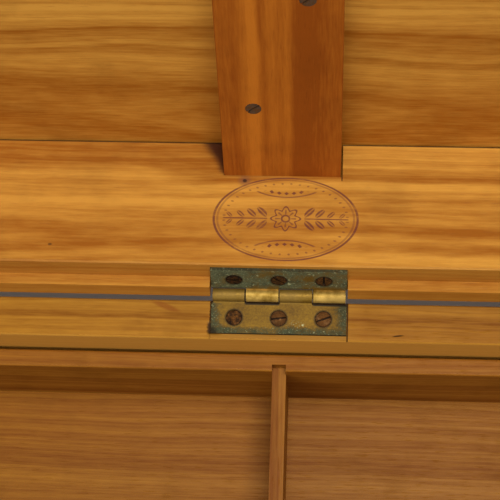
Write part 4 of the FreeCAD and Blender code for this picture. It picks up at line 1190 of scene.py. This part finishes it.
def lamp(name, place, target, size, power):
    """Square panel lamp that looks at a point."""
    data = bpy.data.lights.new(name, "AREA")
    data.shape = "SQUARE"
    data.size = size
    data.energy = power
    made = bpy.data.objects.new(name, data)
    made.location = place
    made.rotation_euler = (Vector(target) - Vector(place)).to_track_quat("-Z", "Y").to_euler()
    bpy.context.scene.collection.objects.link(made)


class TRUNK_OT_stage(bpy.types.Operator):
    """Lay the floor, light it and set the camera"""

    bl_idname = "trunk.stage"
    bl_label = "Floor, lamps and camera"

    def execute(self, context):
        scene = context.scene
        settings = scene.trunk_stage
        mesh = bmesh.new()
        bmesh.ops.create_circle(mesh, cap_ends=True, radius=60.0, segments=96)
        data = bpy.data.meshes.new("floor")
        mesh.to_mesh(data)
        mesh.free()
        floor = bpy.data.objects.new("floor", data)
        scene.collection.objects.link(floor)

        # Paper that goes over into the backdrop away from the trunk
        material, tree, shader = new_material("floor_paper")
        vector = seen_from(tree)
        shade = opaque(settings.floor_colour, 0.97)
        fill(shader, {
            "Base Color": mix(mottle(vector, 3.0), shade, opaque(settings.floor_colour)),
            "Roughness": 0.9,
            "Specular IOR Level": 0.1,
        })
        x, y, _ = split(vector)
        far = fade(length(x, y), 0.9, 3.2) * add(tree, "LightPath", out="Is Camera Ray")
        pale = add(tree, "Emission", {"Color": opaque(settings.backdrop), "Strength": 1.0})
        whole = add(tree, "MixShader", {0: far, 1: Value(shader.outputs[0]), 2: pale})
        fill(tree.nodes["Material Output"], {"Surface": whole})
        data.materials.append(material)
        floor.hide_render = settings.hide_stage

        # Soft light from all sides, behind a backdrop that the camera sees
        world = bpy.data.worlds.new("studio")
        world.use_nodes = True
        scene.world = world
        tree = world.node_tree
        tree.nodes.clear()
        kinds = ("Camera", "Glossy", "Transmission")
        seen = most(*(add(tree, "LightPath", out="Is %s Ray" % kind) for kind in kinds))
        soft = add(tree, "Background", {"Color": (1, 1, 1, 1), "Strength": settings.sky})
        white = add(tree, "Background", {"Color": opaque(settings.backdrop), "Strength": 1.0})
        both = add(tree, "MixShader", {0: seen, 1: soft, 2: white})
        fill(tree.nodes.new("ShaderNodeOutputWorld"), {"Surface": both})

        middle = (0.0, 0.2, 0.4)
        lamp("panel_above", (0.3, 0.12, 2.9), middle, 0.9, settings.top_power)
        lamp("panel_front", (-1.2, -2.6, 1.9), middle, 2.0, settings.front_power)

        data = bpy.data.cameras.new("camera")
        data.sensor_width = 36.0
        data.lens = settings.lens
        data.clip_start = 0.01
        data.clip_end = 200.0
        camera = bpy.data.objects.new("camera", data)
        tilt = Matrix.Rotation(settings.camera_pitch, 4, "X")
        turn = Matrix.Rotation(settings.camera_yaw, 4, "Y")
        roll = Matrix.Rotation(settings.camera_roll, 4, "Z")
        camera.matrix_world = Matrix.Translation(pin + Vector(settings.camera_place)) @ tilt @ turn @ roll
        scene.collection.objects.link(camera)
        scene.camera = camera
        scene.view_settings.view_transform = "Standard"
        return {"FINISHED"}


class TRUNK_PT_panel(bpy.types.Panel):
    """Shows the trunk's settings and operators in the 3D view's sidebar"""

    bl_label = "Camphor Trunk"
    bl_idname = "TRUNK_PT_panel"
    bl_space_type = "VIEW_3D"
    bl_region_type = "UI"
    bl_category = "Trunk"

    def draw(self, context):
        for group in settings_groups:
            settings = getattr(context.scene, group)
            box = self.layout.box()
            for name in settings.__annotations__:
                box.prop(settings, name)
        for operator in operators:
            self.layout.operator(operator.bl_idname)


settings_groups = {
    "trunk_wood": TrunkWood,
    "trunk_brass": TrunkBrass,
    "trunk_mark": TrunkMark,
    "trunk_screws": TrunkScrews,
    "trunk_stage": TrunkStage,
}
operators = [
    TRUNK_OT_effects,
    TRUNK_OT_body_boards,
    TRUNK_OT_lid_boards,
    TRUNK_OT_tray,
    TRUNK_OT_hinges,
    TRUNK_OT_hinge_screws,
    TRUNK_OT_trim,
    TRUNK_OT_stage,
]


def register():
    """Registers the settings, the operators and the panel."""
    for name, group in settings_groups.items():
        bpy.utils.register_class(group)
        setattr(bpy.types.Scene, name, PointerProperty(type=group))
    for kind in operators + [TRUNK_PT_panel]:
        bpy.utils.register_class(kind)


def unregister():
    """Takes them out again."""
    for kind in reversed(operators + [TRUNK_PT_panel]):
        bpy.utils.unregister_class(kind)
    for name, group in settings_groups.items():
        delattr(bpy.types.Scene, name)
        bpy.utils.unregister_class(group)


def main():
    """Builds the whole scene in order."""
    register()
    for operator in operators:
        area, action = operator.bl_idname.split(".")
        getattr(getattr(bpy.ops, area), action)()


if __name__ == "__main__":
    main()
